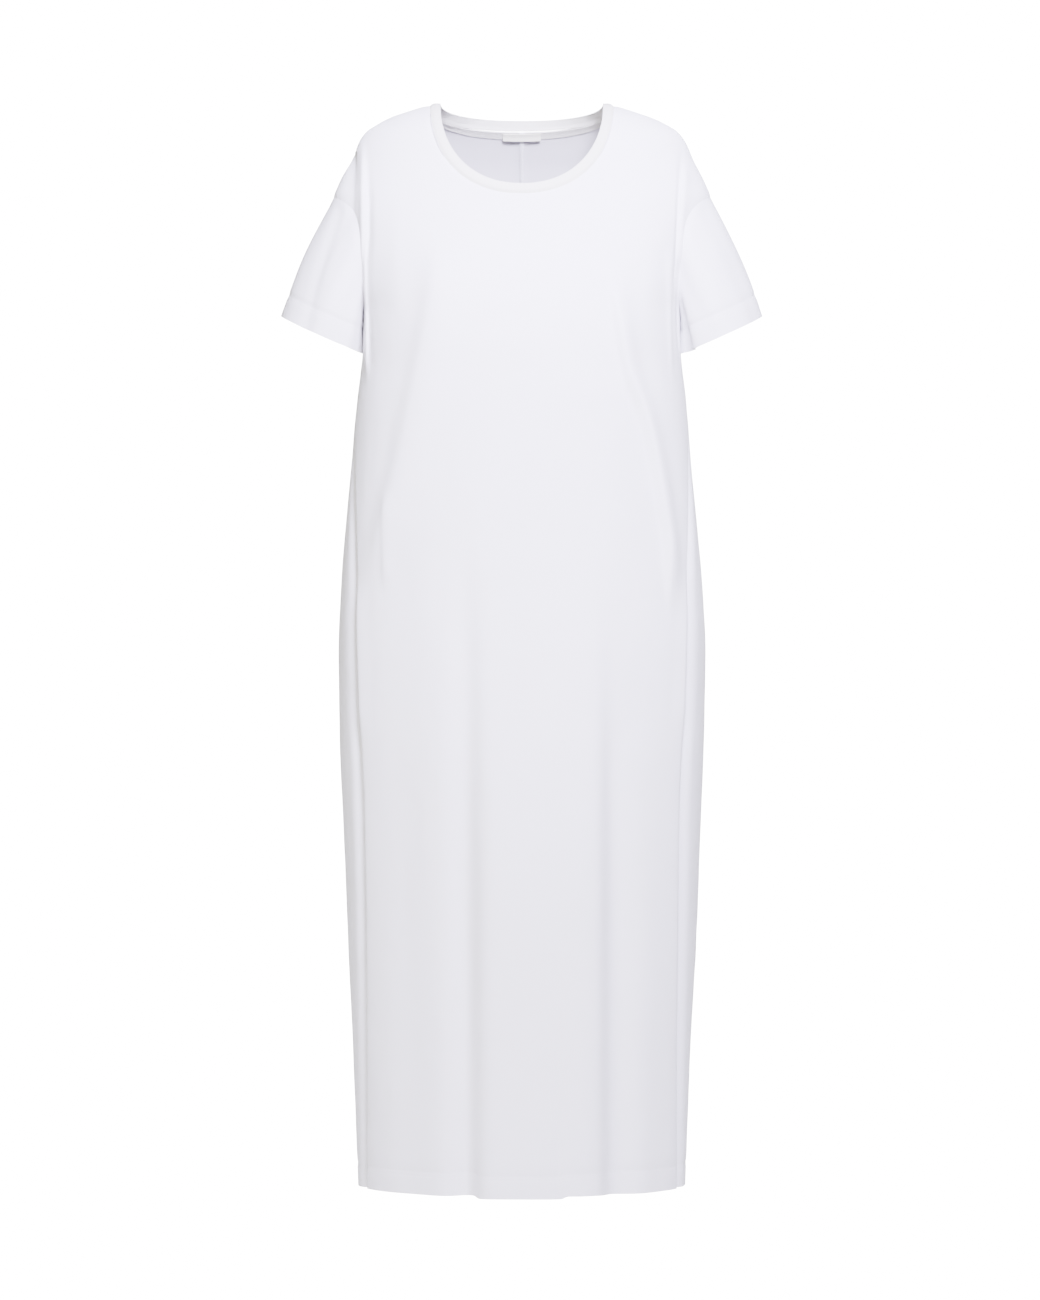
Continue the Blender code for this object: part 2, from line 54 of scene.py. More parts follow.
# Cross-sections: how flat the front and back are, and the rows of the dress from the neck down
FLATNESS = 2.3
COLUMNS = ("height", "half_width", "front", "back", "side_roundness")
SECTIONS = (
    (0.000, 0.0905, 0.010, 0.014, 1.7),
    (-0.003, 0.1070, 0.021, 0.034, 1.7),
    (-0.010, 0.1290, 0.034, 0.055, 1.7),
    (-0.017, 0.1480, 0.042, 0.066, 1.7),
    (-0.024, 0.1620, 0.048, 0.073, 1.7),
    (-0.032, 0.1740, 0.054, 0.079, 1.75),
    (-0.044, 0.1830, 0.061, 0.087, 1.8),
    (-0.064, 0.1910, 0.070, 0.098, 1.9),
    (-0.090, 0.2040, 0.079, 0.108, 2.0),
    (-0.108, 0.2100, 0.085, 0.114, 2.1),
    (-0.130, 0.2060, 0.093, 0.119, 2.2),
    (-0.165, 0.1975, 0.105, 0.125, 2.3),
    (-0.200, 0.1870, 0.117, 0.128, 2.4),
    (-0.238, 0.1765, 0.126, 0.129, 2.62),
    (-0.278, 0.1772, 0.131, 0.128, 2.48),
    (-0.300, 0.1793, 0.132, 0.127, 2.4),
    (-0.331, 0.1833, 0.133, 0.125, 2.4),
    (-0.398, 0.1890, 0.133, 0.123, 2.4),
    (-0.465, 0.1955, 0.134, 0.124, 2.35),
    (-0.531, 0.2010, 0.136, 0.129, 2.3),
    (-0.615, 0.2044, 0.138, 0.136, 2.3),
    (-0.698, 0.2033, 0.138, 0.137, 2.3),
    (-0.799, 0.1994, 0.135, 0.134, 2.3),
    (-0.932, 0.1944, 0.130, 0.130, 2.25),
    (-1.066, 0.1880, 0.125, 0.126, 2.2),
    (-1.208, 0.1820, 0.121, 0.123, 2.2),
)

# Neck opening: where the band meets the panels, and the band's free edge
NECK_ROUNDNESS = 2.2
NECK_SEAM_TOP = -0.002
NECK_SEAM_FRONT = 0.1055
NECK_SEAM_BACK = 0.022
NECK_EDGE_TOP = 0.000
NECK_EDGE_FRONT = 0.0965
NECK_EDGE_BACK = 0.012
BAND_WALL = 0.0022
BAND_PUFF = 0.0009
BAND_STAND = 0.014
BAND_LAP = 0.0013
BAND_PUFF_RUN = 1.15
BAND_DIP_RUN = 4
BAND_LAP_RUN = 2.5
BAND_INSIDE_PUFF = 0.3
NECK_SHARE = 0.5

# Armholes and sleeves
ARMHOLE_HALF_HEIGHT = (DROP_SEAM - UNDERARM) / 2
ARMHOLE_MIDDLE = (DROP_SEAM + UNDERARM) / 2
ARMHOLE_HALF_DEPTH = 0.054
ARMHOLE_SQUARENESS = 0.75
CUFF_X = 0.2212
CUFF_HEIGHT = -0.258
CUFF_HALF_WIDTH = 0.0514
CUFF_HALF_DEPTH = 0.057
CUFF_TILT = math.radians(24)
CUFF_LEAN = 0.005
SLEEVE_FULLNESS = 0.004
SLEEVE_FREE = 0.012

# Side seams run forward of the side, with pocket mouths in them
SIDE_SEAM = (
    (-0.235, 0.0005),
    (-0.330, 0.016),
    (-0.430, 0.044),
    (-0.530, 0.064),
    (-0.620, 0.072),
    (-0.730, 0.074),
    (-0.900, 0.066),
    (-1.060, 0.054),
    (-1.208, 0.042),
)
SEAM_TUCK = 0.004
SEAM_START = 0.03
SEAM_SINK = CLOTH + 0.0008
SEAM_RAMP = 0.016
GROOVE = 0.0025
GROOVE_RAMP = 0.02
SEAM_HOLLOW = 0.0074
SEAM_HOLLOW_REACH = 0.0048
HOLLOW_FROM = 0.02
HOLLOW_TO = 0.066
POCKET_TOP = -0.52
POCKET_LOW = -0.722
POCKET_LIFT = 0.003
POCKET_SINK = 0.004
POCKET_RAMP = 0.028
POCKET_END = 0.5

# Seams: how far the cloth is drawn in along them
SHOULDER_DIP = 0.0006
NECK_DIP = 0.0008
DIP_REACH = 0.0028
HEM_DIP = 0.0007
HEM_DIP_REACH = 0.0035

# Neck tape, label and the raised allowance of the centre back seam
TAPE_TOP = -0.0002
TAPE_WIDTH = 0.009
TAPE_WALL = 0.0006
TAPE_HALF_LENGTH = 0.098
TAPE_GRID = (6, 80)
LABEL_HALF_WIDTH = 0.0215
LABEL_HEIGHT = 0.01
LABEL_WALL = 0.0007
LABEL_STAND = 0.001
INSIDE_GAP = 0.0003
LABEL_CURVE = 2
LABEL_TOP = 0.0002
LABEL_GRID = (8, 24)
ALLOWANCE = 0.0028
ALLOWANCE_RISE = 0.0009
ALLOWANCE_EDGE = 0.0006

# Mesh density
FRONT_COLUMNS = 124
BACK_COLUMNS = 110
INNER_SHARE = 0.4
UPPER_ROWS = 56
LOWER_ROWS = 124
HEM_ROWS = 6
HEM_NEXT = 0.0045
ANGLE_STEP = 0.001
HEIGHT_STEP = 0.0005
SLEEVE_COLUMNS = 120
SLEEVE_ROWS = 56
BAND_COLUMNS = 240
BAND_ROWS = 12

# An edge this sharp is the cut or folded edge of the cloth
SEAM_EDGE = math.radians(50)

# Stitches
STITCH_LENGTH = 0.0023
STITCH_STEP = 0.0031
STITCH_RADIUS = 0.00022
NEEDLE_GAP = 0.004
EDGE_STITCH = 0.0016
OVERLOCK_STEP = 0.0016
OVERLOCK_RADIUS = 0.00035
SLANT = (1.0, 0.0, 0.22)

# The photo's view: the camera stands level, about half way up the dress
CAMERA_DISTANCE = 5.5
VIEW_X = -0.002
VIEW_HEIGHT = -0.609
VIEW_TALL = 1.448
SENSOR = 0.036
FLOOR_HEIGHT = -1.46
FLOOR_HALF = 7.0

# Light: a cool key from the upper right, a weak warm one from the left, and a pale surround
SEEN_STRENGTH = 20.0
WORLD_LIGHT = 0.58
COOL = (0.95, 0.92, 1.22)
WARM = (1.0, 0.97, 0.82)
KEY_POWER = 194.0
FRONT_POWER = 13.0
BACK_POWER = 200.0


class Fold(NamedTuple):
    """A ridge, or a trough where the rise is negative, along a path of x and height.

    forward and outward are how much of its rise points straight ahead and to the side,
    instead of off the form.
    """

    behind: bool
    path: tuple
    left_half: float
    right_half: float
    top_rise: float
    low_rise: float
    forward: float = 0.0
    outward: float = 0.0


FRONT_FOLDS = (
    # skirt
    (((-0.086, -0.5), (-0.084, -0.7), (-0.083, -1.208)), 0.024, 0.02, 0.0012, 0.0042),
    (((-0.061, -0.44), (-0.0605, -0.7), (-0.0605, -1.208)), 0.015, 0.014, -0.002, -0.011),
    (((0.037, -0.72), (0.0375, -1.208)), 0.004, 0.003, -0.0004, -0.0014),
    (((0.058, -0.7), (0.059, -1.208)), 0.014, 0.014, 0.0006, 0.0022),
    (((0.1, -0.62), (0.101, -1.208)), 0.013, 0.02, -0.0018, -0.008),
    (((0.13, -0.64), (0.13, -1.208)), 0.018, 0.02, 0.0008, 0.0022),
    (((-0.126, -0.7), (-0.124, -1.208)), 0.016, 0.018, -0.0004, -0.0012),
    # bodice drags
    (
        ((-0.088, -0.14), (-0.098, -0.242), (-0.115, -0.326), (-0.13, -0.401), (-0.15, -0.475),
         (-0.17, -0.54)),
        0.016, 0.034, 0.0056, 0.007,
    ),
    (((-0.1455, -0.43), (-0.15, -0.545)), 0.005, 0.01, 0.001, 0.0018),
    (
        ((0.0965, -0.18), (0.114, -0.301), (0.1325, -0.351), (0.1475, -0.42), (0.159, -0.5),
         (0.164, -0.575)),
        0.005, 0.016, 0.007, 0.0105,
    ),
    (((0.062, -0.33), (0.1, -0.47)), 0.02, 0.02, -0.0006, -0.001),
    # the roll of cloth that hangs from the right shoulder and hides the armhole
    (((-0.177, -0.036), (-0.1765, -0.13), (-0.1765, -0.205)), 0.004, 0.0045, 0.0038, 0.0046, 0.9),
    (((-0.1705, -0.15), (-0.1695, -0.24), (-0.17, -0.32)), 0.0075, 0.008, 0.0048, 0.0046, 0.4, 0.6),
    (((-0.17, -0.06), (-0.1685, -0.15), (-0.1665, -0.31)), 0.0035, 0.005, -0.0026, -0.0046, 0.9),
    (((-0.186, -0.03), (-0.188, -0.11), (-0.185, -0.17)), 0.012, 0.0055, -0.004, -0.0016),
    (((-0.14, -0.09), (-0.138, -0.25)), 0.012, 0.012, 0.0005, 0.001),
    # the thin crease from the left shoulder and the hollow at its underarm
    (((0.1775, -0.045), (0.172, -0.14), (0.168, -0.23)), 0.0028, 0.0026, -0.0022, -0.0034, 0.6),
    (((0.183, -0.06), (0.178, -0.14), (0.175, -0.2)), 0.004, 0.006, 0.0018, 0.0018, 0.8),
    (((0.165, -0.16), (0.164, -0.235), (0.166, -0.31)), 0.007, 0.0045, 0.0024, 0.004, 0.9),
    (((0.175, -0.165), (0.172, -0.23), (0.1745, -0.292)), 0.0055, 0.008, -0.005, -0.009, 0.9),
    (((0.14, -0.09), (0.14, -0.25)), 0.013, 0.014, 0.0005, 0.001),
)
BACK_FOLDS = (
    # skirt
    (((0.05, -0.56), (0.06, -0.88), (0.056, -1.208)), 0.014, 0.02, -0.001, -0.0085),
    (((0.01, -0.64), (0.004, -1.208)), 0.03, 0.024, 0.001, 0.006),
    (((-0.058, -0.64), (-0.07, -1.208)), 0.018, 0.012, -0.001, -0.0075),
    (((-0.112, -0.56), (-0.102, -0.9), (-0.106, -1.208)), 0.018, 0.022, 0.001, 0.005),
    (((0.118, -0.7), (0.112, -1.208)), 0.016, 0.02, 0.001, 0.005),
    (((0.146, -0.76), (0.144, -1.208)), 0.012, 0.012, -0.0008, -0.004),
    # drags from the shoulder blades
    (((0.092, -0.18), (0.112, -0.26), (0.146, -0.39), (0.168, -0.5)), 0.009, 0.012, -0.003, -0.0036),
    (((-0.09, -0.2), (-0.114, -0.29), (-0.148, -0.4), (-0.162, -0.45)), 0.012, 0.009, -0.0028, -0.0034),
    (((-0.03, -0.3), (-0.07, -0.48)), 0.016, 0.02, -0.0012, -0.002),
    (((0.034, -0.33), (0.06, -0.52)), 0.02, 0.016, 0.0012, 0.002),
    (((0.164, -0.06), (0.166, -0.26)), 0.008, 0.008, -0.002, -0.006),
    (((-0.164, -0.06), (-0.164, -0.262)), 0.008, 0.008, -0.002, -0.006),
)
FOLDS = [Fold(False, *row) for row in FRONT_FOLDS] + [Fold(True, *row) for row in BACK_FOLDS]
FOLD_FADE = 0.22

# Slack: how long its folds are across and down, their seed and their most
SLACK = (
    ((0.050, 0.050, 0.60), 3.0, 0.0016),
    ((0.090, 0.090, 0.16), 10.0, 0.0012),
    ((0.016, 0.016, 0.026), 18.0, 0.00028),
)
SLEEVE_SLACK = ((0.035, 0.035, 0.09), 21.0, 0.0010)
SLACK_START = 0.25

# The middle of the skirt's front stands forward as one wide soft pleat, whose hem hangs lower
PLEAT_LEFT = -0.049
PLEAT_RIGHT = 0.088
PLEAT_TOP = -0.46
PLEAT_GROWTH = 0.45
PLEAT_RISE = 0.019
PLEAT_LEFT_EDGE = 0.012
PLEAT_RIGHT_EDGE = 0.0095
HEM_FALL_RIGHT = 0.044
HEM_FALL_EDGE = 0.0022
PLEAT_FALL = 0.003
PLEAT_FALL_REACH = 0.16
SIDE_HEM_LIFT = 0.0045
FRONT_HEM_LIFT = 0.0033
PLEAT_HEM_LIFT = 0.0022
SIDE_HEM_REACH = 0.2


class SleeveFold(NamedTuple):
    """A ridge or trough down a sleeve; turn 0 is its top and 0.5 its front, in half circles."""

    side: int
    top_turn: float
    low_turn: float
    half: float
    top_rise: float
    low_rise: float


SLEEVE_FOLDS = [SleeveFold(*row) for row in (
    (-1, 0.16, 0.38, 0.14, -0.0018, -0.0016),
    (-1, 0.42, 0.46, 0.2, 0.0008, 0.0012),
    (-1, 0.64, 0.7, 0.2, 0.001, 0.0026),
    (1, 0.76, 0.82, 0.2, -0.004, -0.0095),
    (1, 0.42, 0.46, 0.26, 0.0012, 0.0022),
    (1, 0.18, 0.2, 0.2, -0.0008, -0.0016),
    (-1, 1.3, 1.26, 0.22, -0.002, -0.003),
    (1, 1.34, 1.3, 0.22, -0.0018, -0.003),
    (-1, 1.58, 1.6, 0.22, 0.0015, 0.0024),
    (1, 1.56, 1.6, 0.22, 0.0015, 0.0024),
)]


def ease(share):
    """A soft step from 0 to 1."""
    share = np.clip(share, 0.0, 1.0)
    return share * share * (3 - 2 * share)


def bell(gone, reach):
    """1 at a line, fading softly to 0 some way off it."""
    return np.exp(-((gone / reach) ** 2))


def curve_through(places, values, at):
    """A smooth curve through a table's values that never overshoots them."""
    places = np.asarray(places, float)
    values = np.asarray(values, float)
    run = np.diff(places)
    rate = np.diff(values) / run
    same_way = rate[1:] * rate[:-1] > 0
    total = np.where(same_way, rate[1:] + rate[:-1], 1.0)
    inner = np.where(same_way, 2 * rate[1:] * rate[:-1] / total, 0.0)
    slope = np.concatenate(([rate[0]], inner, [rate[-1]]))
    at = np.clip(at, places[0], places[-1])
    k = np.clip(np.searchsorted(places, at) - 1, 0, len(run) - 1)
    h = run[k]
    t = (at - places[k]) / h
    start = (1 + 2 * t) * (1 - t) ** 2 * values[k] + t * (1 - t) ** 2 * h * slope[k]
    end = t * t * (3 - 2 * t) * values[k + 1] + t * t * (t - 1) * h * slope[k + 1]
    return start + end


def read_down(rows, place, value, at):
    """One column of rows that run downwards, read at any place in another column."""
    rows = rows[::-1]
    return curve_through([row[place] for row in rows], [row[value] for row in rows], at)


def section(name, height):
    """One column of the sections, read at any height."""
    return read_down(SECTIONS, 0, COLUMNS.index(name), height)


def side_seam_forward(height):
    """How far the side seam lies in front of the side."""
    return read_down(SIDE_SEAM, 0, 1, height)


def form(angle, height):
    """The smooth form: angle 0 is centre front, a right angle the side, a half turn the back."""
    width = section("half_width", height)
    front = section("front", height)
    back = section("back", height)
    side = section("side_roundness", height)
    depth = np.where(np.abs(angle) <= math.pi / 2, -front, back)
    x = np.sign(angle) * width * np.abs(np.sin(angle)) ** (2 / FLATNESS)
    y = depth * np.abs(np.cos(angle)) ** (2 / side)
    return np.stack(np.broadcast_arrays(x, y, height), axis=-1)


def wide_share(x, height):
    """How far to the side a place is, as the sine of its angle on the form."""
    return (np.abs(x) / section("half_width", height)) ** (FLATNESS / 2)


def deep_share(y, height, depth_name):
    """How far to the front or back a place is, as the cosine of its angle on the form."""
    share = np.abs(y) / section(depth_name, height)
    return share ** (section("side_roundness", height) / 2)


def angle_from_depth(forward, height, depth_name):
    """The angle from the centre line at which the form is this deep."""
    return np.arccos(np.clip(deep_share(forward, height, depth_name), 0.0, 1.0))


def angle_from_width(x, height):
    """The angle from the centre line at which the form is this wide."""
    return np.arcsin(np.clip(wide_share(x, height), 0.0, 1.0))


def unit(vectors):
    """Vectors of length 1."""
    return vectors / np.linalg.norm(vectors, axis=-1, keepdims=True)


def onto_form(points, depth_name):
    """The angles from the centre line at which rays from the axis through points meet the form."""
    x, y, height = points[..., 0], points[..., 1], points[..., 2]
    return np.arctan2(wide_share(x, height), deep_share(y, height, depth_name))


def on_half(angle, height, depth_name):
    """Points of the form's front or back half, by the angle from its centre line."""
    return form(math.pi - angle if depth_name == "back" else angle, height)


def form_normal(angle, height):
    """The way out of the form at each angle and height."""
    most = math.pi - 1.01 * ANGLE_STEP
    angle = np.clip(angle, -most, most)
    across = form(angle + ANGLE_STEP, height) - form(angle - ANGLE_STEP, height)
    up = form(angle, height + HEIGHT_STEP) - form(angle, height - HEIGHT_STEP)
    return unit(np.cross(across, up))


def fold_moves(base, normal):
    """How far and which way the folds move each point of the form."""
    height = base[..., 2]
    move = np.zeros(base.shape)
    for fold in FOLDS:
        top = fold.path[0][1]
        low = fold.path[-1][1]
        along = (top - height) / (top - low)
        x = read_down(fold.path, 1, 0, height)
        turn = angle_from_width(x, height)
        line = form(np.sign(x) * (math.pi - turn if fold.behind else turn), height)
        gone = np.linalg.norm(base - line, axis=-1)
        half = np.where(base[..., 0] < line[..., 0], fold.left_half, fold.right_half)
        fade = ease(along / FOLD_FADE)
        if low > -LENGTH:
            fade = fade * ease((1 - along) / FOLD_FADE)
        rise = fold.top_rise + (fold.low_rise - fold.top_rise) * np.clip(along, 0.0, 1.0)
        rise = (rise * fade * bell(gone, half))[..., None]
        aside = np.array([math.copysign(fold.outward, fold.path[0][0]), -fold.forward, 0.0])
        move += rise * ((1 - fold.forward - fold.outward) * normal + aside)
    return move


def pleat_share(base, right, left_edge, right_edge):
    """1 over the wide soft pleat at the middle of the skirt's front, 0 outside it."""
    x = base[..., 0]
    start = 0.5 + 0.5 * np.tanh((x - PLEAT_LEFT) / left_edge)
    end = 0.5 + 0.5 * np.tanh((right - x) / right_edge)
    return np.where(base[..., 1] < 0, start * end, 0.0)


def soft_noise(points, size, seed):
    """Gentle noise from -1 to 1 over the points, size metres across and down."""
    scaled = points / np.array(size) + seed
    flat = [noise.noise(Vector(p)) for p in scaled.reshape(-1, 3)]
    return np.array(flat).reshape(points.shape[:-1])


def slack(base):
    """The slight unevenness of cloth that hangs: long and upright in the skirt."""
    down = ease((UNDERARM - base[..., 2]) / SLACK_START)
    hang, drift, small = (soft_noise(base, size, seed) * most for size, seed, most in SLACK)
    return hang * down + drift + small


def draped(angle, height):
    """The form, its way out, and the outside of the cloth that hangs on it in folds."""
    base = form(angle, height)
    normal = form_normal(angle, height)
    pleat = pleat_share(base, PLEAT_RIGHT, PLEAT_LEFT_EDGE, PLEAT_RIGHT_EDGE)
    off = PLEAT_RISE * pleat * ease((PLEAT_TOP - height) / PLEAT_GROWTH) + slack(base)
    outer = base + fold_moves(base, normal) + off[..., None] * normal
    fall = pleat_share(base, HEM_FALL_RIGHT, HEM_FALL_EDGE, HEM_FALL_EDGE)
    outer[..., 2] -= PLEAT_FALL * fall * ease(1 - (height + LENGTH) / PLEAT_FALL_REACH)
    side = np.abs(np.sin(angle)) ** 3
    lift = SIDE_HEM_LIFT * side + PLEAT_HEM_LIFT * pleat
    lift = lift + FRONT_HEM_LIFT * (1 - side) * (base[..., 1] < 0)
    outer[..., 2] += lift * ease(1 - (height + LENGTH) / SIDE_HEM_REACH)
    return base, normal, outer


def seam_hollow(gone, height):
    """How far the cloth sinks beside a side seam, at this distance from it."""
    open_share = ease((side_seam_forward(height) - HOLLOW_FROM) / (HOLLOW_TO - HOLLOW_FROM))
    return SEAM_HOLLOW * open_share * bell(gone, SEAM_HOLLOW_REACH) * at_side_seam(height)


def pocket_share(height):
    """1 along the pocket mouth, falling to 0 at both of its ends."""
    middle = (POCKET_TOP + POCKET_LOW) / 2
    half = (POCKET_TOP - POCKET_LOW) / 2
    return ease((1 - np.abs(height - middle) / half) / POCKET_END)


def grid_normals(grid, turn):
    """The unit normals of a grid of points, from the quads round each point."""
    if turn:
        padded = np.concatenate((grid[:, -1:], grid, grid[:, :1]), axis=1)
        across = padded[:, 2:] - padded[:, :-2]
    else:
        across = np.gradient(grid, axis=1)
    up = np.gradient(grid, axis=0)
    return unit(np.cross(across, up))


def tube_normals(grid, centre):
    """The unit normals of a tube's grid, facing away from its centre."""
    normal = grid_normals(grid, True)
    return -normal if ((grid - centre) * normal).sum() < 0 else normal


def put_in_scene(name, data):
    """A new object in the scene."""
    made = bpy.data.objects.new(name, data)
    bpy.context.scene.collection.objects.link(made)
    return made


def cloth_map(grid, turn):
    """Flat places on the cloth in metres: across and up, from the grid's own lengths."""
    if turn:
        grid = np.concatenate((grid, grid[:, :1]), axis=1)
    across = np.linalg.norm(np.diff(grid, axis=1), axis=-1)
    up = np.linalg.norm(np.diff(grid, axis=0), axis=-1)
    u = np.concatenate((np.zeros((len(grid), 1)), np.cumsum(across, axis=1)), axis=1)
    u = u - u[:, -1:] / 2
    v = np.concatenate((np.zeros((1, grid.shape[1])), np.cumsum(up, axis=0)), axis=0)
    return np.stack((u, v), axis=-1)


def shell(name, outer, inner, turn, finishes):
    """A thin closed sheet between two grids of points, with a flat map of the cloth."""
    rows, columns = outer.shape[:2]
    spans = columns if turn else columns - 1
    flat = cloth_map(outer, turn)
    r, c = (a.ravel() for a in np.meshgrid(np.arange(rows - 1), np.arange(spans), indexing="ij"))
    d = (c + 1) % columns
    around = ((r, c, c), (r, d, c + 1), (r + 1, d, c + 1), (r + 1, c, c))
    outside = np.stack([row * columns + column for row, column, _ in around], axis=1)
    places = np.stack([flat[row, mapped] for row, _, mapped in around], axis=1)
    inside = outside[:, ::-1] + rows * columns
    faces = [outside, inside]
    maps = [places, places[:, ::-1]]
    span = np.arange(spans)
    step = np.arange(rows - 1)
    rims = [((row, span), (row, span + 1), row > 0) for row in (0, rows - 1)]
    if not turn:
        rims += [((step, edge), (step + 1, edge), edge == 0) for edge in (0, columns - 1)]
    for first, second, flip in rims:
        near, far = (row * columns + column % columns for row, column in (first, second))
        rim = np.stack((near, near + rows * columns, far + rows * columns, far), axis=1)
        place = np.stack([flat[at] for at in (first, first, second, second)], axis=1)
        faces.append(rim[:, ::-1] if flip else rim)
        maps.append(place[:, ::-1] if flip else place)
    faces = np.concatenate(faces)
    maps = np.concatenate(maps)
    first = outer.reshape(-1, 3)[faces[0]]
    turned = np.cross(first[1] - first[0], first[2] - first[0])
    if np.dot(turned, (outer - inner)[0, 0]) < 0:
        faces = faces[:, ::-1]
        maps = maps[:, ::-1]
    mesh = bpy.data.meshes.new(name)
    points = np.concatenate((outer.reshape(-1, 3), inner.reshape(-1, 3)))
    mesh.from_pydata(points.tolist(), [], faces.tolist())
    layer = mesh.uv_layers.new(name="Cloth")
    layer.data.foreach_set("uv", maps.reshape(-1, 2).ravel().astype(np.float32))
    mesh.shade_smooth()
    for finish in finishes:
        mesh.materials.append(finish)
    # The inner faces take the second finish; for the jersey it is a darker copy, painted shade for the
    # dim inside of the dress.
    painted_shade_faces = np.zeros(len(faces), np.int32)
    painted_shade_faces[len(outside) : 2 * len(outside)] = 1
    mesh.polygons.foreach_set("material_index", painted_shade_faces)
    mesh.update()
    mesh.set_sharp_from_angle(angle=SEAM_EDGE)
    return put_in_scene(name, mesh)


def neck_curve(turn_share, top, drop):
    """Half a neckline in x and height: 0 is the centre, 1 the shoulder."""
    phi = turn_share * math.pi / 2
    x = section("half_width", top) * np.sin(phi) ** (2 / NECK_ROUNDNESS)
    height = top - drop * np.cos(phi) ** (2 / NECK_ROUNDNESS)
    return x, height


def shoulder_curve(share):
    """Heights down the shoulder seam at even steps of its length."""
    height = np.linspace(NECK_SEAM_TOP, DROP_SEAM, 200)
    width = section("half_width", height)
    run = np.concatenate(([0.0], np.cumsum(np.hypot(np.diff(width), np.diff(height)))))
    return np.interp(share * run[-1], run, height)


def arm_ring(turn):
    """Height and depth of the armhole: turn 0 is its top, a right angle its front."""
    cos = np.cos(turn)
    sin = np.sin(turn)
    height = ARMHOLE_MIDDLE + ARMHOLE_HALF_HEIGHT * np.sign(cos) * np.abs(cos) ** ARMHOLE_SQUARENESS
    depth = ARMHOLE_HALF_DEPTH * np.sign(sin) * np.abs(sin) ** ARMHOLE_SQUARENESS
    return height, depth


def upper_panel(across, up, depth_name):
    """The angle from the centre line, and the height, of points above the underarm.

    across runs from the centre line to the armhole, up from the underarm to neck and shoulder.
    """
    drop = NECK_SEAM_FRONT if depth_name == "front" else NECK_SEAM_BACK
    foot = on_half(across * math.pi / 2, np.full_like(across, UNDERARM), depth_name)

    neck_share = np.clip(across / NECK_SHARE, 0.0, 1.0)
    neck_x, neck_height = neck_curve(neck_share, NECK_SEAM_TOP, drop)
    neck_angle = angle_from_width(neck_x, neck_height)
    down = shoulder_curve(np.clip((across - NECK_SHARE) / (1 - NECK_SHARE), 0.0, 1.0))
    on_neck = across < NECK_SHARE
    top_height = np.where(on_neck, neck_height, down)
    top_angle = np.where(on_neck, neck_angle, math.pi / 2)
    top = on_half(top_angle, top_height, depth_name)

    arm_height, arm_depth = arm_ring(math.pi * (1 - up))
    arm_angle = angle_from_depth(arm_depth, arm_height, depth_name)
    arm = on_half(arm_angle, arm_height, depth_name)

    neck_low = NECK_SEAM_TOP - drop
    centre_height = UNDERARM + (neck_low - UNDERARM) * up
    centre = on_half(np.zeros_like(up), centre_height, depth_name)

    across = across[..., None]
    up = up[..., None]
    blend = (1 - up) * foot + up * top + (1 - across) * centre + across * arm
    near = (1 - up) * foot[:1, :1] + up * top[-1:, :1]
    far = (1 - up) * foot[:1, -1:] + up * top[-1:, -1:]
    points = blend - (1 - across) * near - across * far
    return onto_form(points, depth_name), points[..., 2]


def column_shares(columns):
    """Even shares across each part, with more of the columns between the shoulder and the side."""
    inner = int(round(columns * INNER_SHARE))
    near = np.linspace(0, NECK_SHARE, inner + 1)
    return np.concatenate((near, np.linspace(NECK_SHARE, 1, columns - inner + 1)[1:]))


def lower_heights():
    """Row heights from the hem to the underarm, with rows at the hem's fold."""
    fold = -LENGTH + HEM_DEPTH
    hem = np.linspace(-LENGTH, fold, HEM_ROWS)
    rest = np.linspace(fold + HEM_NEXT, UNDERARM, LOWER_ROWS)
    return np.concatenate((hem, [fold + HEM_STEP], rest[:-1]))


def panel_half(depth_name, columns):
    """The angles and heights of half a panel, from the centre line to the side."""
    shares = column_shares(columns)
    across, up = np.meshgrid(shares, np.linspace(0, 1, UPPER_ROWS))
    upper_angle, upper_height = upper_panel(across, up, depth_name)
    heights = lower_heights()
    seam_forward = side_seam_forward(heights)
    if depth_name == "back":
        tucked = SEAM_TUCK * ease((UNDERARM - heights) / SEAM_START)
        reach = math.pi - angle_from_depth(seam_forward + tucked, heights, "front")
    else:
        reach = angle_from_depth(seam_forward, heights, "front")
    lower_angle = reach[:, None] * shares[None, :]
    lower_height = np.repeat(heights[:, None], columns + 1, axis=1)
    return np.concatenate((lower_angle, upper_angle)), np.concatenate((lower_height, upper_height))


def wall_depth(height):
    """The cloth's thickness: the hem is turned up, so its wall is double there."""
    rise = (height + LENGTH - HEM_DEPTH) / HEM_STEP
    return HEM_CLOTH + (CLOTH - HEM_CLOTH) * np.clip(rise, 0.0, 1.0)


def hem_dip(above):
    """How far the cloth is drawn in along the hem's stitches, this far above their line."""
    return HEM_DIP * bell(above, HEM_DIP_REACH)


def edge_distance(grid, column):
    """The distance of each point from one edge of the grid along its row."""
    return np.linalg.norm(grid - grid[:, column][:, None, :], axis=-1)


def at_side_seam(height):
    """1 from the underarm down, 0 well above it."""
    return ease((UNDERARM - height) / SEAM_START + 1)


def line_distance(grid, line):
    """The distance of each point from a line of points."""
    nearest = np.full(grid.shape[:-1], np.inf)
    for start, end in zip(line[:-1], line[1:]):
        way = end - start
        share = np.clip(((grid - start) @ way) / max(way @ way, 1e-12), 0.0, 1.0)
        gone = np.linalg.norm(grid - start - share[..., None] * way, axis=-1)
        nearest = np.minimum(nearest, gone)
    return nearest


def seam_dips(base):
    """The cloth drawn in along the neck and shoulder seams of half a panel."""
    upper = base[-UPPER_ROWS:]
    corner = int(round((base.shape[1] - 1) * INNER_SHARE))
    rise = np.zeros(base.shape[:-1])
    neck, shoulder = upper[-1, : corner + 1], upper[-1, corner:]
    for line, depth in ((neck, NECK_DIP), (shoulder, SHOULDER_DIP)):
        rise[-UPPER_ROWS:] -= depth * bell(line_distance(upper, line), DIP_REACH)
    return rise


